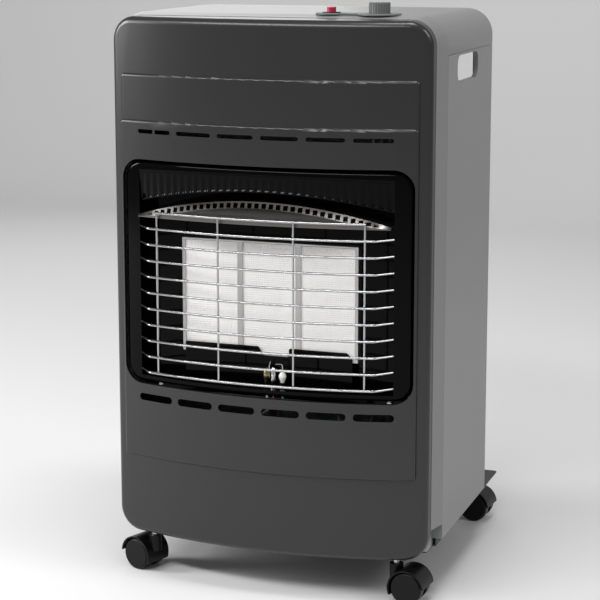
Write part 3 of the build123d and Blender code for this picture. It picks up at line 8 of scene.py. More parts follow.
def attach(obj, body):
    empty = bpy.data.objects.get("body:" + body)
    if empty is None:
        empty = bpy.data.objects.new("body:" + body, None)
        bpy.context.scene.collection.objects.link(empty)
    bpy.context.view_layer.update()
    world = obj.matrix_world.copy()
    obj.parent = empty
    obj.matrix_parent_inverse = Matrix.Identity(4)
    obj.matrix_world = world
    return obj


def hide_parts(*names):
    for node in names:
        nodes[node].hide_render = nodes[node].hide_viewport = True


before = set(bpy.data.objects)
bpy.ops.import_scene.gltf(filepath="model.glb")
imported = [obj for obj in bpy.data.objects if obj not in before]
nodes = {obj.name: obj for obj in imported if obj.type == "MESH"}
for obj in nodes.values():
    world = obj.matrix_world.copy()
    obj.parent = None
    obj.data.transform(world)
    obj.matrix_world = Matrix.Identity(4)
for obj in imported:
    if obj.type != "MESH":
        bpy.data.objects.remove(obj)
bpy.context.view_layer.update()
MM = 0.001

# ---------------------------------------------------------------------------
# Camera. The photograph was taken from the front right, a little above the top of the cabinet, with a long
# lens whose axis lies above the middle of the frame.
FRAME_PIXELS = 600
FOCAL_PIXELS = 1825.1
AXIS_ABOVE_MIDDLE = 60
CAMERA_PLACE = Vector((753.2, -2201.4, 815.4)) * MM
CAMERA_YAW = 0.336
CAMERA_PITCH = 0.171

lens = bpy.data.cameras.new("camera")
lens.sensor_width = 36
lens.lens = FOCAL_PIXELS / FRAME_PIXELS * lens.sensor_width
lens.shift_y = -AXIS_ABOVE_MIDDLE / FRAME_PIXELS
lens.clip_start = 0.05
lens.clip_end = 50
camera = bpy.data.objects.new("camera", lens)
looking = Vector(
    (-sin(CAMERA_YAW) * cos(CAMERA_PITCH), cos(CAMERA_YAW) * cos(CAMERA_PITCH), -sin(CAMERA_PITCH))
)
camera.location = CAMERA_PLACE
camera.rotation_euler = looking.to_track_quat("-Z", "Y").to_euler()
bpy.context.scene.collection.objects.link(camera)
bpy.context.scene.camera = camera
bpy.context.scene.view_settings.view_transform = "Standard"


# ---------------------------------------------------------------------------
# Studio. Pale seamless paper that curves up into a backdrop. A soft lamp stands at the left and a long strip
# high in front, with weaker lamps overhead, at the right for the side panel, and behind.
def linear(code):
    """Linear red, green, blue and alpha of an sRGB hex colour."""
    parts = [int(code[i : i + 2], 16) / 255 for i in (0, 2, 4)]
    return tuple(c / 12.92 if c < 0.04045 else ((c + 0.055) / 1.055) ** 2.4 for c in parts) + (1.0,)


def new_material(name, **surface):
    """A material whose surface shader has these values; returns it with its shader node."""
    material = bpy.data.materials.new(name)
    material.use_nodes = True
    shader = material.node_tree.nodes["Principled BSDF"]
    for key, value in surface.items():
        shader.inputs[key.replace("_", " ")].default_value = value
    return material, shader


CREASE = radians(32)  # edges that turn more than this stay sharp


def new_piece(name, form, material, body=None):
    """Makes a bmesh drawn in metres a smooth-shaded piece with this material, which rides on a body where one
    is given.
    """
    for face in form.faces:
        face.smooth = True
    for edge in form.edges:
        edge.smooth = len(edge.link_faces) == 2 and edge.calc_face_angle() < CREASE
    mesh = bpy.data.meshes.new(name)
    form.to_mesh(mesh)
    form.free()
    mesh.materials.append(material)
    piece = bpy.data.objects.new(name, mesh)
    bpy.context.scene.collection.objects.link(piece)
    if body:
        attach(piece, body)
    return piece


def grown_verts(grown):
    """The vertices that an extrusion made."""
    return [part for part in grown["geom"] if isinstance(part, bmesh.types.BMVert)]


FLOOR_HALF = 6.0
BACKDROP_START = 2.6
BACKDROP_HEIGHT = 5.0
BACKDROP_BEND = 1.2
BEND_STEPS = 16
SKY_STRENGTH = 0.4
studio_paper, _ = new_material(
    "studio_paper", Base_Color=linear("DCDCDC"), Roughness=0.9, Specular_IOR_Level=0.2
)
paper = bmesh.new()
profile = [paper.verts.new((-FLOOR_HALF, -FLOOR_HALF, 0)), paper.verts.new((-FLOOR_HALF, BACKDROP_START, 0))]
for step in range(1, BEND_STEPS + 1):
    turn = step / BEND_STEPS * pi / 2
    profile.append(
        paper.verts.new(
            (-FLOOR_HALF, BACKDROP_START + BACKDROP_BEND * sin(turn), BACKDROP_BEND * (1 - cos(turn)))
        )
    )
profile.append(paper.verts.new((-FLOOR_HALF, BACKDROP_START + BACKDROP_BEND, BACKDROP_HEIGHT)))
edges = [paper.edges.new(pair) for pair in zip(profile, profile[1:])]
widened = bmesh.ops.extrude_edge_only(paper, edges=edges)
bmesh.ops.translate(paper, verts=grown_verts(widened), vec=(2 * FLOOR_HALF, 0, 0))
bmesh.ops.recalc_face_normals(paper, faces=paper.faces)
new_piece("studio_floor", paper, studio_paper)

world = bpy.data.worlds.new("studio_world")
world.use_nodes = True
sky = world.node_tree.nodes["Background"]
sky.inputs["Color"].default_value = linear("F2F2F2")
sky.inputs["Strength"].default_value = SKY_STRENGTH
bpy.context.scene.world = world

LAMPS = (
    # name, place, aim, width, height, power
    ("lamp_left", (-2.7, -1.1, 1.3), (0, 0, 0.4), 0.7, 1.3, 58),
    ("lamp_front", (-0.7, -2.2, 2.4), (0, 0, 0.4), 3.0, 0.3, 64),
    ("lamp_top", (0.5, -0.5, 2.8), (0, 0, 0.5), 1.0, 0.3, 20),
    ("lamp_right", (2.8, -0.5, 2.3), (0.1, 0, 0.6), 0.8, 1.0, 23),
    ("lamp_back", (-1.3, 2.4, 1.3), (0, 0, 0.7), 1.2, 0.6, 5),
)
for name, place, aim, width, height, power in LAMPS:
    lamp_data = bpy.data.lights.new(name, "AREA")
    lamp_data.shape = "RECTANGLE"
    lamp_data.size = width
    lamp_data.size_y = height
    lamp_data.energy = power
    lamp = bpy.data.objects.new(name, lamp_data)
    lamp.visible_camera = False
    lamp.location = place
    lamp.rotation_euler = (Vector(aim) - Vector(place)).to_track_quat("-Z", "Y").to_euler()
    bpy.context.scene.collection.objects.link(lamp)

# ---------------------------------------------------------------------------
# Painted cabinet. Folded and pressed sheet steel with a baked anthracite powder coat. The front panel is
# anthracite;
# the cover and the side panels are painted a lighter grey, painted light for the light that falls on them,
# and the plate under the bottle is black.
POWDER_PEEL = 1.6 * MM  # one ripple of the orange peel that powder leaves
POWDER_DEPTH = 0.004 * MM
POWDER_DRIFT = 160 * MM  # patches of slightly thicker and thinner powder


def add_node(material, kind, settings=None, **links):
    """Adds a node; settings are its own, and each link or value goes to the input of that name."""
    node = material.node_tree.nodes.new(kind)
    for name, value in (settings or {}).items():
        setattr(node, name, value)
    for name, value in links.items():
        socket = node.inputs[int(name[1:])] if name[0] == "_" else node.inputs[name.replace("_", " ")]
        if isinstance(value, bpy.types.NodeSocket):
            material.node_tree.links.new(value, socket)
        else:
            socket.default_value = value
    return node


def fine_relief(material, shader, size, depth, detail=2.0):
    """Gives a surface fine bumps of one size and depth, fixed to the object."""
    place = add_node(material, "ShaderNodeTexCoord").outputs["Object"]
    grain = add_node(material, "ShaderNodeTexNoise", Vector=place, Scale=1 / size, Detail=detail)
    bump = add_node(material, "ShaderNodeBump", Strength=1.0, Distance=depth, Height=grain.outputs["Fac"])
    material.node_tree.links.new(bump.outputs["Normal"], shader.inputs["Normal"])


def tone_patches(material, shader, size, dark, light):
    """Lets the colour drift between two near tones in patches of one size, fixed to the object."""
    place = add_node(material, "ShaderNodeTexCoord").outputs["Object"]
    drift = add_node(material, "ShaderNodeTexNoise", Vector=place, Scale=1 / size, Detail=3.0)
    tone = add_node(
        material,
        "ShaderNodeMix",
        {"data_type": "RGBA"},
        _0=drift.outputs["Fac"],
        _6=linear(dark),
        _7=linear(light),
    )
    material.node_tree.links.new(tone.outputs[2], shader.inputs["Base Color"])


def powder_coat(name, dark, light, roughness, gloss):
    """Baked powder coat: satin, faintly rippled like orange peel, all but one tone."""
    material, shader = new_material(name, Roughness=roughness, Specular_IOR_Level=gloss)
    tone_patches(material, shader, POWDER_DRIFT, dark, light)
    fine_relief(material, shader, POWDER_PEEL, POWDER_DEPTH)
    return material


def dress(material, *names, smooth=True):
    """Gives solids a finished material, and shades their curved faces smooth where asked."""
    for name in names:
        mesh = nodes[name].data
        if mesh.materials:
            mesh.materials[0] = material
        else:
            mesh.materials.append(material)
        if smooth:
            nodes[name].modifiers.new("smooth_by_angle", "NODES").node_group = smooth_by_angle
            weighted = nodes[name].modifiers.new("flat_faces_stay_flat", "WEIGHTED_NORMAL")
            weighted.keep_sharp = True
            weighted.mode = "FACE_AREA_WITH_ANGLE"


# The solids come as loose flat triangles. This group joins them at their corners and shades them smooth, with
# every edge that turns more than the crease angle left sharp.
CORNER_REACH = 0.005 * MM  # corners nearer than this are one
smooth_by_angle = bpy.data.node_groups.new("smooth_by_angle", "GeometryNodeTree")
for direction in ("INPUT", "OUTPUT"):
    smooth_by_angle.interface.new_socket("Geometry", in_out=direction, socket_type="NodeSocketGeometry")
loose = smooth_by_angle.nodes.new("NodeGroupInput")
joined = smooth_by_angle.nodes.new("GeometryNodeMergeByDistance")
joined.inputs["Distance"].default_value = CORNER_REACH
softened = smooth_by_angle.nodes.new("GeometryNodeSetShadeSmooth")
creased = smooth_by_angle.nodes.new("GeometryNodeSetShadeSmooth")
creased.domain = "EDGE"
creased.inputs["Shade Smooth"].default_value = False
turn_of_edge = smooth_by_angle.nodes.new("GeometryNodeInputMeshEdgeAngle")
is_crease = smooth_by_angle.nodes.new("FunctionNodeCompare")
is_crease.inputs[1].default_value = CREASE
shaded = smooth_by_angle.nodes.new("NodeGroupOutput")
for source, target in (
    (loose.outputs[0], joined.inputs["Geometry"]),
    (joined.outputs["Geometry"], softened.inputs["Geometry"]),
    (softened.outputs["Geometry"], creased.inputs["Geometry"]),
    (turn_of_edge.outputs["Unsigned Angle"], is_crease.inputs[0]),
    (is_crease.outputs["Result"], creased.inputs["Selection"]),
    (creased.outputs["Geometry"], shaded.inputs[0]),
):
    smooth_by_angle.links.new(source, target)

anthracite_coat = powder_coat("anthracite_powder_coat", "1A1A1B", "1D1D1E", 0.3, 0.55)
# Painted light: the cover and the side panels take a lighter grey than the anthracite front, for the light on
# them.
painted_light_coat = powder_coat("powder_coat_painted_light_grey", "787878", "7C7C7C", 0.36, 0.45)
black_coat = powder_coat("black_powder_coat", "1B1B1C", "1E1E1F", 0.45, 0.3)
dress(anthracite_coat, "front_panel")
dress(painted_light_coat, "top_cover", "side_panel_left", "side_panel_right")
dress(black_coat, "base_plate")

# ---------------------------------------------------------------------------
# Inner frame. Uprights, beams, rails, heat shield and valve bracket, folded from hot-dip galvanised sheet and
# left bare: dull grey metal with the frosty crystals of the zinc bath.
SPANGLE = 9 * MM  # one zinc crystal
galvanised, galvanised_shader = new_material("galvanised_sheet_steel", Metallic=1.0)
spangle_place = add_node(galvanised, "ShaderNodeTexCoord").outputs["Object"]
spangle = add_node(galvanised, "ShaderNodeTexVoronoi", Vector=spangle_place, Scale=1 / SPANGLE)
crystal = add_node(galvanised, "ShaderNodeSeparateColor", Color=spangle.outputs["Color"])
crystal_tone = add_node(
    galvanised,
    "ShaderNodeMix",
    {"data_type": "RGBA"},
    _0=crystal.outputs["Red"],
    _6=linear("8C9094"),
    _7=linear("A9ADB0"),
)
crystal_gloss = add_node(
    galvanised, "ShaderNodeMapRange", Value=crystal.outputs["Green"], To_Min=0.34, To_Max=0.5
)
galvanised.node_tree.links.new(crystal_tone.outputs[2], galvanised_shader.inputs["Base Color"])
galvanised.node_tree.links.new(crystal_gloss.outputs["Result"], galvanised_shader.inputs["Roughness"])
dress(
    galvanised, "chassis_frame", "rear_rail", "heat_shield", "injector_rail", "valve_bracket", smooth=False
)

# ---------------------------------------------------------------------------
# Burner housing and pilot shield. Steel pressings dipped in black vitreous enamel: glassy, jet black, with
# sharp highlights on every rounded edge.
ENAMEL_WAVE, ENAMEL_DEPTH = 14 * MM, 0.03 * MM  # the slow waves of a fired glass coat
black_enamel, enamel_shader = new_material(
    "black_vitreous_enamel", Base_Color=linear("030303"), Roughness=0.08, IOR=1.52, Specular_IOR_Level=0.07
)
fine_relief(black_enamel, enamel_shader, ENAMEL_WAVE, ENAMEL_DEPTH, detail=1.0)
dress(black_enamel, "burner_housing", "pilot_shield")

# The slanted roof of the recess is pressed into a row of upright flutes. Each ends below in a small rounded
# step that catches the light from above, so the row shows as a line of bright dots.
BOW_CENTRE_Y = 404.05
BEZEL_FACE_Y = -197.7
RECESS_HALF = 163.0
ROOF_DEPTH = 5.0
ROOF_MIDDLE, ROOF_SIDE_DROP = 502.0, 20.0
SLANT_MIDDLE, SLANT_SIDE_DROP = 524.0, 3.0
FLUTES = 33
FLUTE_PITCH = 9.85
FLUTE_RIDGE = 1.9  # half of the ridge between two flutes
FLUTE_ROUND = 2.2
FLUTE_SLOPE = 1.6  # width of a flute's sloping sides
FLUTE_FLOOR = 0.25  # how far the flutes' floors stand off the solid roof,
LINER_HIGH, LINER_LOW = 0.3, 1.42  # the ridges at the bezel and at the lower edge,
LINER_BACK = 0.1  # and the liner's back
LINER_BOTTOM, LINER_TOP = 0.01, 0.92  # the flutes fade out short of the bezel's face
ROOF_NORMAL = Vector((0, -0.98, -0.2))


def bow_depth(front, x):
    """Depth of a bow whose middle stands at front, at a place x across, in millimetres."""
    return BOW_CENTRE_Y - sqrt((BOW_CENTRE_Y - front) ** 2 - x**2)


def roof_point(x, up):
    """A point on the slanted roof, from its lower edge (up 0) to the bezel (up 1), in millimetres."""
    share = (x / RECESS_HALF) ** 2
    bezel_y = bow_depth(BEZEL_FACE_Y, x)
    low = Vector((x, bezel_y + ROOF_DEPTH, ROOF_MIDDLE - ROOF_SIDE_DROP * share))
    high = Vector((x, bezel_y, SLANT_MIDDLE - SLANT_SIDE_DROP * share))
    return low.lerp(high, up)


def off_roof(point, distance):
    """The point at this distance off the roof, over the same place."""
    low, high = roof_point(point.x, 0), roof_point(point.x, 1)
    return low.lerp(high, (point.z - low.z) / (high.z - low.z)) + ROOF_NORMAL * distance


def grown_rim(grown):
    """The open edges that an extrusion made."""
    parts = grown["geom"]
    return [part for part in parts if isinstance(part, bmesh.types.BMEdge) and part.is_boundary]


def finished(form, name, material, slot, *replaced):
    """Makes a closed form drawn in millimetres a piece of the cabinet, in place of the solids it replaces."""
    bmesh.ops.recalc_face_normals(form, faces=form.faces)
    bmesh.ops.scale(form, verts=form.verts, vec=(MM, MM, MM))
    piece = new_piece(name, form, material, "cabinet")
    if replaced:
        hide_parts(*replaced)


liner = bmesh.new()
bmesh.ops.create_grid(liner, x_segments=FLUTES, y_segments=1, size=1)
for vert in liner.verts:
    x = vert.co.x * FLUTES * FLUTE_PITCH / 2
    up = LINER_BOTTOM if vert.co.y < 0 else LINER_TOP
    vert.co = roof_point(x, up) + ROOF_NORMAL * (LINER_LOW + (LINER_HIGH - LINER_LOW) * up)
bmesh.ops.recalc_face_normals(liner, faces=liner.faces)
if next(iter(liner.faces)).normal.dot(ROOF_NORMAL) < 0:
    bmesh.ops.reverse_faces(liner, faces=liner.faces)
flutes = list(liner.faces)
bmesh.ops.inset_individual(liner, faces=flutes, thickness=FLUTE_RIDGE)
corners = {vert for face in flutes for vert in face.verts}
bmesh.ops.bevel(
    liner, geom=list(corners), affect="VERTICES", offset=FLUTE_ROUND, segments=3, profile=0.5, material=-1
)
flutes = sorted(liner.faces, key=lambda face: -len(face.verts))[:FLUTES]
bmesh.ops.inset_individual(liner, faces=flutes, thickness=FLUTE_SLOPE)
for vert in {vert for face in flutes for vert in face.verts}:
    vert.co = off_roof(vert.co, FLUTE_FLOOR)
rim_edges = [edge for edge in liner.edges if edge.is_boundary]
turned_back = bmesh.ops.extrude_edge_only(liner, edges=rim_edges)
for vert in grown_verts(turned_back):
    vert.co = off_roof(vert.co, LINER_BACK)
bmesh.ops.edgeloop_fill(liner, edges=grown_rim(turned_back))
finished(liner, "roof_flutes", black_enamel, "black_enamel")

# ---------------------------------------------------------------------------
# Heat hood. A stainless steel visor over the burners, its slotted lip leaning back. It is a dull warm grey,
# with painted shade that darkens it towards the lip, which lies in the shade of the recess roof.
HOOD_SHADE_START, HOOD_SHADE_FULL = 464 * MM, 484 * MM  # heights between which the painted shade of the lip comes on
HOOD_GRAIN, HOOD_DEPTH = 0.8 * MM, 0.004 * MM
shaded_hood_steel, shaded_hood_shader = new_material("stainless_steel_painted_lip_shade", Metallic=1.0, Roughness=0.3)
hood_place = add_node(shaded_hood_steel, "ShaderNodeTexCoord").outputs["Object"]
hood_height = add_node(shaded_hood_steel, "ShaderNodeSeparateXYZ", Vector=hood_place).outputs["Z"]
# Painted shade: the colour darkens with height from the face up to the lip.
lip_shade_mask = add_node(
    shaded_hood_steel, "ShaderNodeMapRange", Value=hood_height, From_Min=HOOD_SHADE_START, From_Max=HOOD_SHADE_FULL
)
hood_painted_shade = add_node(
    shaded_hood_steel,
    "ShaderNodeMix",
    {"data_type": "RGBA"},
    _0=lip_shade_mask.outputs["Result"],
    _6=linear("7A7876"),
    _7=linear("2C2A29"),
)
shaded_hood_steel.node_tree.links.new(hood_painted_shade.outputs[2], shaded_hood_shader.inputs["Base Color"])
fine_relief(shaded_hood_steel, shaded_hood_shader, HOOD_GRAIN, HOOD_DEPTH)
dress(shaded_hood_steel, "heat_hood")

# ---------------------------------------------------------------------------
# Wire guard. Drawn steel wires, resistance-welded at every crossing and then bright chrome plated. Each weld
# leaves a small bead between the two wires.
bright_chrome, _ = new_material(
    "bright_chrome_plate", Base_Color=linear("B0B0B2"), Metallic=1.0, Roughness=0.14
)
dress(bright_chrome, "wire_guard")

GUARD_LOW = 271.3
GUARD_PITCH = 20.0
GUARD_ROWS = 11  # ten long wires and the short one above them
GUARD_UPRIGHTS = (-132.4, -47.8, 47.8, 132.4)
WIRE_MIDDLE_Y = -210.7
BEAD_SET = 1.35  # the weld lies this far behind the middle of the long wire
BEAD_RADIUS = 1.9
beads = bmesh.new()
for row in range(GUARD_ROWS):
    for x in GUARD_UPRIGHTS:
        bead_place = (x, bow_depth(WIRE_MIDDLE_Y, x) + BEAD_SET, GUARD_LOW + row * GUARD_PITCH)
        bmesh.ops.create_icosphere(
            beads, subdivisions=2, radius=BEAD_RADIUS, matrix=Matrix.Translation(bead_place)
        )
finished(beads, "guard_weld_beads", bright_chrome, "chrome_wire")

# ---------------------------------------------------------------------------
# Burner boxes and plaque frame. Pressed from plain stainless steel and spot-welded, with the soft upright
# sheen of rolled sheet.
ROLLING = 0.5 * MM  # width of a rolling line; the real ones are finer and would not show
ROLLING_RUN = 1000 / 12 * MM  # length over which a rolling line fades
ROLLING_DEPTH = 0.01 * MM
stainless, stainless_shader = new_material(
    "rolled_stainless_steel", Base_Color=linear("BEBCBC"), Metallic=1.0, Roughness=0.34
)
rolled_place = add_node(stainless, "ShaderNodeTexCoord").outputs["Object"]
lines = (1 / ROLLING, 1 / ROLLING, 1 / ROLLING_RUN)
stretched = add_node(stainless, "ShaderNodeMapping", Vector=rolled_place, Scale=lines).outputs["Vector"]
rolling = add_node(stainless, "ShaderNodeTexNoise", Vector=stretched, Scale=1.0, Detail=2.0)
rolling_bump = add_node(
    stainless, "ShaderNodeBump", Strength=0.4, Distance=ROLLING_DEPTH, Height=rolling.outputs["Fac"]
)
stainless.node_tree.links.new(rolling_bump.outputs["Normal"], stainless_shader.inputs["Normal"])
dress(stainless, "burner_left", "burner_middle", "burner_right", "plaque_frame", smooth=False)

# ---------------------------------------------------------------------------
# Burner plaques. Pressed and fired cordierite ceramic, matt white, each face covered with a close grid of
# small ports whose edges slope inward.
ceramic, ceramic_shader = new_material(
    "fired_cordierite_ceramic", Roughness=0.95, Specular_IOR_Level=0.15
)
FIRING_DRIFT = 30 * MM  # patches that the kiln left a little paler or darker
tone_patches(ceramic, ceramic_shader, FIRING_DRIFT, "ECEBEA", "F4F3F2")
PLAQUE_WIDTH = 71.2
PLAQUE_LOW, PLAQUE_HIGH = 298.0, 434.0
PLAQUE_PITCH = 75.2
PLAQUE_FRONT_Y = -158.0
PLAQUE_THICK = 13.0
PORTS_ACROSS, PORTS_UP = 26, 50
PORT_RIDGE = 0.5  # flat ceramic beside each port
PORT_SLOPE = 0.35
PORT_DEEP = 0.9
for side, node in ((-1, "plaque_left"), (0, "plaque_middle"), (1, "plaque_right")):
    plaque = bmesh.new()
    bmesh.ops.create_grid(plaque, x_segments=PORTS_ACROSS, y_segments=PORTS_UP, size=0.5)
    bmesh.ops.scale(plaque, verts=plaque.verts, vec=(PLAQUE_WIDTH, PLAQUE_HIGH - PLAQUE_LOW, 1))
    bmesh.ops.rotate(plaque, verts=plaque.verts, matrix=Matrix.Rotation(pi / 2, 3, "X"))
    ports = list(plaque.faces)
    bmesh.ops.inset_individual(plaque, faces=ports, thickness=PORT_RIDGE)
    bmesh.ops.inset_individual(plaque, faces=ports, thickness=PORT_SLOPE, depth=-PORT_DEEP)
    rim_edges = [edge for edge in plaque.edges if edge.is_boundary]
    sides = bmesh.ops.extrude_edge_only(plaque, edges=rim_edges)
    bmesh.ops.translate(plaque, verts=grown_verts(sides), vec=(0, PLAQUE_THICK, 0))
    bmesh.ops.edgeloop_fill(plaque, edges=grown_rim(sides))
    bmesh.ops.recalc_face_normals(plaque, faces=plaque.faces)
    plaque_place = (side * PLAQUE_PITCH, PLAQUE_FRONT_Y, (PLAQUE_LOW + PLAQUE_HIGH) / 2)
    bmesh.ops.translate(plaque, verts=plaque.verts, vec=plaque_place)
    finished(plaque, node + "_ports", ceramic, "burner_ceramic", node)

# ---------------------------------------------------------------------------
# Pilot group. A turned brass pilot bell with its thin flame wire, the stainless tip of the thermocouple, and
# a glazed porcelain insulator with the hooked wire of the spark electrode. A nut holds each in the floor of
# the recess; the nuts are black, which also stands in as painted shade at the foot of the group.
SPIN_STEPS = 24
SEAM = 0.001  # points of a turned shape nearer than this are one
TOOL_MARK, TOOL_DEPTH = 1.5 * MM, 0.02 * MM
GLAZE_WAVE, GLAZE_DEPTH = 5 * MM, 0.02 * MM
POLISH_MARK, POLISH_DEPTH = 2 * MM, 0.01 * MM
turned_brass, brass_shader = new_material(
    "turned_brass", Base_Color=linear("989070"), Metallic=1.0, Roughness=0.26
)
fine_relief(turned_brass, brass_shader, TOOL_MARK, TOOL_DEPTH)
porcelain, porcelain_shader = new_material(
    "glazed_porcelain", Base_Color=linear("F2F1EC"), Roughness=0.1, IOR=1.52
)
fine_relief(porcelain, porcelain_shader, GLAZE_WAVE, GLAZE_DEPTH, detail=1.0)
polished_stainless, polished_shader = new_material(
    "polished_stainless_steel", Base_Color=linear("DADBDD"), Metallic=1.0, Roughness=0.2
)
fine_relief(polished_stainless, polished_shader, POLISH_MARK, POLISH_DEPTH)


def turned(form, outline, place, axis="Z"):
    """Adds a shape turned on a lathe: radius and height pairs from one end of its axis to the other."""
    points = [form.verts.new((radius, 0, height)) for radius, height in outline]
    lines = [form.edges.new(pair) for pair in zip(points, points[1:])]
    bmesh.ops.spin(
        form,
        geom=points + lines,
        cent=(0, 0, 0),
        axis=(0, 0, 1),
        angle=2 * pi,
        steps=SPIN_STEPS,
        use_merge=True,
    )
    fresh = [vert for vert in form.verts if not vert.tag]
    bmesh.ops.remove_doubles(form, verts=fresh, dist=SEAM)
    fresh = [vert for vert in form.verts if not vert.tag]
    if axis == "Y":
        bmesh.ops.rotate(form, verts=fresh, matrix=Matrix.Rotation(-pi / 2, 3, "X"))
    bmesh.ops.translate(form, verts=fresh, vec=place)
    for vert in fresh:
        vert.tag = True


def bent_wire(form, points, radius, sides=10):
    """Adds a round wire along straight runs, mitred where they meet."""
    route = [Vector(point) for point in points]
    ahead = [(b - a).normalized() for a, b in zip(route, route[1:])]
    facings = [ahead[0]] + [(a + b).normalized() for a, b in zip(ahead, ahead[1:])] + [ahead[-1]]
    aim = ahead[0].to_track_quat("Z", "Y")
    made = bmesh.ops.create_circle(
        form,
        cap_ends=True,
        radius=radius,
        segments=sides,
        matrix=Matrix.Translation(route[0]) @ aim.to_matrix().to_4x4(),
    )
    cap = made["verts"][0].link_faces[0]
    for place, here, facing in zip(route[1:], ahead, facings[1:]):
        grown = bmesh.ops.extrude_face_region(form, geom=[cap])
        cap = next(part for part in grown["geom"] if isinstance(part, bmesh.types.BMFace))
        for vert in cap.verts:
            reach = (place - vert.co).dot(facing) / here.dot(facing)
            vert.co += here * reach


FLOOR_Z = 263.0  # the floor of the recess
FOOT = -7.2  # each piece starts this far under the floor
BELL_PLACE = (0, -167, FLOOR_Z)
PROBE_PLACE = (8.5, -167, FLOOR_Z)
SPARK_PLACE = (22, -172, FLOOR_Z)
bell = bmesh.new()
turned(
    bell,
    (
        (0, FOOT),
        (2.6, FOOT),
        (2.6, 4.0),
        (3.2, 5.2),
        (4.2, 7.6),
        (4.7, 10.4),
        (4.5, 13.2),
        (3.7, 16.0),
        (2.9, 18.2),
        (2.4, 19.0),
        (1.8, 18.6),
        (1.5, 15.0),
        (0, 14.4),
    ),
    BELL_PLACE,
)
finished(bell, "pilot_bell", turned_brass, "yellow_brass", "pilot_burner")

probe = bmesh.new()
turned(
    probe,
    (
        (0, FOOT),
        (2.5, FOOT),
        (2.5, 4.0),
        (3.4, 4.6),
        (3.4, 8.0),
        (2.9, 8.6),
        (2.9, 9.4),
        (3.4, 10.0),
        (3.4, 13.6),
        (3.0, 14.4),
        (3.1, 17.6),
        (2.6, 19.4),
        (1.6, 20.6),
        (0, 21.0),
    ),
    PROBE_PLACE,
)
finished(probe, "thermocouple_tip", polished_stainless, "burner_steel", "thermocouple")

insulator = bmesh.new()
turned(
    insulator,
    (
        (0, FOOT),
        (2.2, FOOT),
        (2.2, 4.0),
        (2.6, 5.6),
        (3.9, 8.4),
        (4.8, 11.4),
        (4.5, 13.6),
        (3.3, 15.2),
        (2.4, 16.2),
        (2.2, 17.4),
        (1.6, 18.3),
        (0, 18.5),
    ),
    SPARK_PLACE,
)
finished(insulator, "electrode_insulator", porcelain, "white_ceramic", "spark_electrode")

NUT_HEIGHT = 4.0
NUT_MIDDLE = 2.05  # above the floor
NUT_EDGE = 0.4
# The nuts are parts of the pilot group; their black enamel is also painted shade at its foot.
pilot_nuts_painted_shade = bmesh.new()
for place, radius in ((BELL_PLACE, 4.3), (PROBE_PLACE, 4.1), (SPARK_PLACE, 4.6)):
    bmesh.ops.create_cone(
        pilot_nuts_painted_shade,
        cap_ends=True,
        segments=6,
        radius1=radius,
        radius2=radius,
        depth=NUT_HEIGHT,
        matrix=Matrix.Translation(Vector(place) + Vector((0, 0, NUT_MIDDLE))),
    )
bmesh.ops.bevel(
    pilot_nuts_painted_shade,
    geom=pilot_nuts_painted_shade.edges[:],
    affect="EDGES",
    offset=NUT_EDGE,
    segments=2,
    profile=0.5,
    material=-1,
)
finished(pilot_nuts_painted_shade, "pilot_nuts_painted_shade", black_enamel, "black_enamel")

WIRE_RADIUS = 0.6
SPARK_HOOK = ((0, 0, 17.5), (0, 0, 24.4), (-0.8, 0, 26.0), (-2.6, 0, 26.6), (-9.0, 0, 26.2))
FLAME_WIRE = ((2.6, 0, 16), (3.2, 0, 22), (5.0, -0.5, 28))
pilot_wires = bmesh.new()
for place, route in ((SPARK_PLACE, SPARK_HOOK), (BELL_PLACE, FLAME_WIRE)):
    bent_wire(pilot_wires, [Vector(place) + Vector(point) for point in route], WIRE_RADIUS)
finished(pilot_wires, "pilot_wires", polished_stainless, "burner_steel")

# ---------------------------------------------------------------------------
# Gas parts. A die-cast valve body, drawn aluminium pipes, brass injectors with a turned spindle, the copper
# lead of the thermocouple, and the igniter's lead in silicone rubber.
CAST_GRAIN, CAST_DEPTH = 0.9 * MM, 0.03 * MM
DRAWING_WAVE, DRAWING_DEPTH = 4 * MM, 0.01 * MM
COPPER_DRIFT = 25 * MM  # patches of fresh and of duller copper
SILICONE_GRAIN, SILICONE_DEPTH = 1.2 * MM, 0.01 * MM
ZINC_DRIFT = 7 * MM  # the clouds of a passivated zinc plate
cast_alloy, cast_shader = new_material(
    "die_cast_aluminium", Base_Color=linear("9B9DA0"), Metallic=1.0, Roughness=0.48
)
fine_relief(cast_alloy, cast_shader, CAST_GRAIN, CAST_DEPTH)
drawn_aluminium, drawn_shader = new_material(
    "drawn_aluminium_tube", Base_Color=linear("C4C6C8"), Metallic=1.0, Roughness=0.3
)
fine_relief(drawn_aluminium, drawn_shader, DRAWING_WAVE, DRAWING_DEPTH)
drawn_copper, copper_shader = new_material("drawn_copper", Metallic=1.0, Roughness=0.32)
tone_patches(drawn_copper, copper_shader, COPPER_DRIFT, "A5623F", "C4825E")
silicone, silicone_shader = new_material("silicone_rubber", Base_Color=linear("C8C4BC"), Roughness=0.55)
fine_relief(silicone, silicone_shader, SILICONE_GRAIN, SILICONE_DEPTH)
zinc_plate, zinc_shader = new_material("bright_zinc_plate", Metallic=1.0, Roughness=0.27)
tone_patches(zinc_plate, zinc_shader, ZINC_DRIFT, "AFB2B6", "C4C7C9")
dress(cast_alloy, "gas_valve")
dress(drawn_aluminium, "supply_pipes", "pilot_pipe")
dress(drawn_copper, "thermocouple_lead")
dress(silicone, "ignition_lead")
dress(turned_brass, "injectors", "valve_spindle")
dress(zinc_plate, "spindle_collar", "caster_sockets")

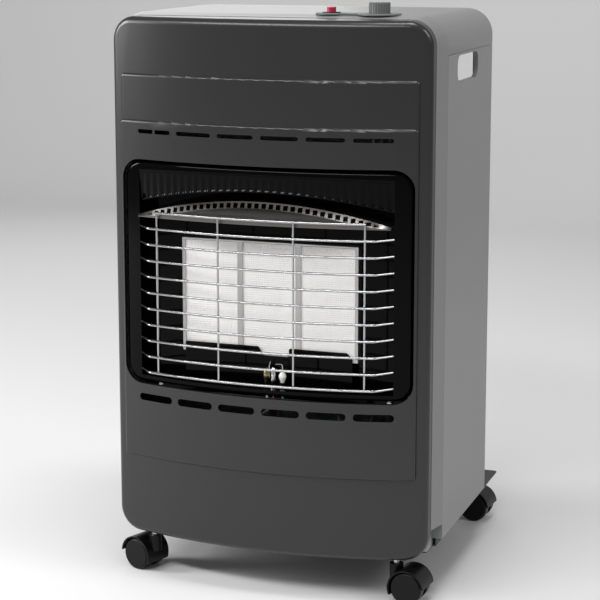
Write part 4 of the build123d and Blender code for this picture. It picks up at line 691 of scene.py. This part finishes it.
# The hose tail is screwed into the valve through the heat shield: a plain spigot, a hexagon and three barbs
# that hold the hose.
HOSE_X, HOSE_Z = 150.0, 662.0
HOSE_START_Y, HOSE_HEX_Y, HOSE_BARREL_Y, HOSE_END_Y = -99.0, -96.0, -89.0, -65.0
HOSE_BORE, HOSE_SPIGOT, HOSE_COLLAR, HOSE_NECK, HOSE_TIP = 2.5, 5.5, 6.6, 4.0, 3.6  # radii
HEX_FLATS = 14.0
HEX_SET_BACK = 0.2
HEX_EDGE = 0.5
BARBS = 3
BARB_LENGTH = 5.2
BARB_LEAD, BARB_GAP = 0.4, 0.1
BARB_TOP, BARB_FOOT = 4.5, 3.8  # radii
BARB_LAST = 1.0  # from the last barb to the end
hex_start = HOSE_HEX_Y - HOSE_START_Y
barrel_start = HOSE_BARREL_Y - HOSE_START_Y
tail_length = HOSE_END_Y - HOSE_START_Y
tail_outline = [
    (HOSE_BORE, 0),
    (HOSE_SPIGOT, 0),
    (HOSE_SPIGOT, hex_start),
    (HOSE_COLLAR, hex_start),
    (HOSE_COLLAR, barrel_start),
    (HOSE_NECK, barrel_start),
]
for barb in range(BARBS):
    start = tail_length - (BARBS - barb) * BARB_LENGTH - BARB_LAST
    tail_outline += [
        (HOSE_NECK, start),
        (BARB_TOP, start + BARB_LEAD),
        (BARB_FOOT, start + BARB_LENGTH - BARB_GAP),
    ]
tail_outline += [(HOSE_TIP, tail_length), (HOSE_BORE, tail_length), (HOSE_BORE, 0)]
tail = bmesh.new()
turned(tail, tail_outline, (HOSE_X, HOSE_START_Y, HOSE_Z), axis="Y")
hex_middle = Vector((HOSE_X, (HOSE_BARREL_Y + HOSE_HEX_Y) / 2, HOSE_Z))
hexagon = bmesh.ops.create_cone(
    tail,
    cap_ends=True,
    segments=6,
    radius1=HEX_FLATS / sqrt(3),
    radius2=HEX_FLATS / sqrt(3),
    depth=HOSE_BARREL_Y - HOSE_HEX_Y - HEX_SET_BACK,
    matrix=Matrix.Translation(hex_middle) @ Matrix.Rotation(pi / 2, 4, "X"),
)
hexagon_edges = {edge for vert in hexagon["verts"] for edge in vert.link_edges}
bmesh.ops.bevel(
    tail, geom=list(hexagon_edges), affect="EDGES", offset=HEX_EDGE, segments=2, profile=0.5, material=-1
)
finished(tail, "barbed_hose_tail", turned_brass, "yellow_brass", "hose_tail")

# ---------------------------------------------------------------------------
# Controls on the top. Knob and escutcheon are moulded in grey ABS with a fine spark-eroded grain, the igniter
# in black polyamide, and its button in glossy red ABS.
SPARK_GRAIN, MOULD_DEPTH = 0.7 * MM, 0.008 * MM
GLOSS_WAVE = 3 * MM  # the slow waves of a polished mould
grey_abs, grey_abs_shader = new_material("grey_moulded_abs", Base_Color=linear("5C605F"), Roughness=0.42)
fine_relief(grey_abs, grey_abs_shader, SPARK_GRAIN, MOULD_DEPTH)
black_polyamide, polyamide_shader = new_material(
    "black_polyamide", Base_Color=linear("09090A"), Roughness=0.36, Specular_IOR_Level=0.2
)
fine_relief(black_polyamide, polyamide_shader, SPARK_GRAIN, MOULD_DEPTH)
red_abs, red_abs_shader = new_material("red_gloss_abs", Base_Color=linear("A01838"), Roughness=0.18)
fine_relief(red_abs, red_abs_shader, GLOSS_WAVE, MOULD_DEPTH)
dress(grey_abs, "control_knob", "escutcheon")
dress(black_polyamide, "piezo_igniter", "piezo_nut")
dress(red_abs, "ignition_button")

# ---------------------------------------------------------------------------
# Casters. Twin wheels moulded in dark polypropylene under a black polyamide fender, on a zinc-plated stem and
# axle, held by a flanged socket in the base plate.
WHEEL_GRAIN, WHEEL_DEPTH = 1.4 * MM, 0.01 * MM
wheel_plastic, wheel_shader = new_material(
    "dark_polypropylene", Base_Color=linear("0B0B0C"), Roughness=0.34, Specular_IOR_Level=0.2
)
fine_relief(wheel_plastic, wheel_shader, WHEEL_GRAIN, WHEEL_DEPTH)
for corner in ("front_left", "front_right", "rear_left", "rear_right"):
    dress(zinc_plate, f"caster_{corner}_stem", f"caster_{corner}_axle")
    dress(black_polyamide, f"caster_{corner}_hood")
    dress(wheel_plastic, f"caster_{corner}_wheel_a", f"caster_{corner}_wheel_b")

# ---------------------------------------------------------------------------
# Sheet-metal screws. Pan heads with a cross recess, zinc plated: three through the rear skirt, six through
# the heat shield, and six that hold the burner housing to its beams, heads forward.
SCREW_RADIUS = 3.75
SCREW_HEAD = 2.4
CROWN_RADIUS = 2.6  # the flat middle of the head
CROWN_STEPS = ((3.3, 0.35), (SCREW_RADIUS, 1.1))  # radius and drop of its rounded edge
SHANK_RADIUS = 1.8
SHANK_LENGTH = 6.0
CROSS_REACH = 1.9
CROSS_HALF = 0.45
CROSS_DEEP = 1.1
CROWN_LOW = -0.1  # only the flat crown lies above this
SCREWS = (
    # backward or forward, seat, places
    (1, 104.2, [(x, 692) for x in (-120, 0, 120)]),
    (1, -97.0, [(x, z) for x in (-192, 192) for z in (200, 430, 660)]),
    (-1, -146.0, [(x, z) for x in (-150, 0, 150) for z in (246, 548)]),
)
screw = bmesh.new()
bmesh.ops.create_circle(screw, cap_ends=True, radius=CROWN_RADIUS, segments=24)
for normal in ((1, 0, 0), (0, 1, 0)):
    for offset in (-CROSS_REACH, -CROSS_HALF, CROSS_HALF, CROSS_REACH):
        bmesh.ops.bisect_plane(
            screw,
            geom=screw.verts[:] + screw.edges[:] + screw.faces[:],
            plane_co=Vector(normal) * offset,
            plane_no=normal,
        )
outer_edges = [edge for edge in screw.edges if edge.is_boundary]
for radius, drop in (*CROWN_STEPS, (SCREW_RADIUS, SCREW_HEAD), (SHANK_RADIUS, SCREW_HEAD)):
    ring = bmesh.ops.extrude_edge_only(screw, edges=outer_edges)
    for vert in grown_verts(ring):
        vert.co = Vector((vert.co.x, vert.co.y, 0)).normalized() * radius - Vector((0, 0, drop))
    outer_edges = grown_rim(ring)
ring = bmesh.ops.extrude_edge_only(screw, edges=outer_edges)
for vert in grown_verts(ring):
    vert.co.z = -SCREW_HEAD - SHANK_LENGTH
bmesh.ops.edgeloop_fill(screw, edges=grown_rim(ring))
cross = []
for face in screw.faces:
    middle = face.calc_center_median()
    near, far = sorted((abs(middle.x), abs(middle.y)))
    on_crown = abs(face.normal.z) > 0.9 and middle.z > CROWN_LOW
    if on_crown and near < CROSS_HALF and far < CROSS_REACH:
        cross.append(face)
sunk = bmesh.ops.extrude_face_region(screw, geom=cross)
bmesh.ops.translate(screw, verts=grown_verts(sunk), vec=(0, 0, -CROSS_DEEP))
bmesh.ops.recalc_face_normals(screw, faces=screw.faces)
screw_mesh = bpy.data.meshes.new("pan_head_screw")
screw.to_mesh(screw_mesh)
screw.free()
screws = bmesh.new()
for outward, seat, places in SCREWS:
    for x, z in places:
        screws.from_mesh(screw_mesh)
        fresh = [vert for vert in screws.verts if not vert.tag]
        bmesh.ops.rotate(screws, verts=fresh, matrix=Matrix.Rotation(-outward * pi / 2, 3, "X"))
        bmesh.ops.translate(screws, verts=fresh, vec=(x, seat + outward * SCREW_HEAD, z))
        for vert in fresh:
            vert.tag = True
bpy.data.meshes.remove(screw_mesh)
finished(screws, "pan_head_screws", zinc_plate, "zinc_steel", "casing_screws")
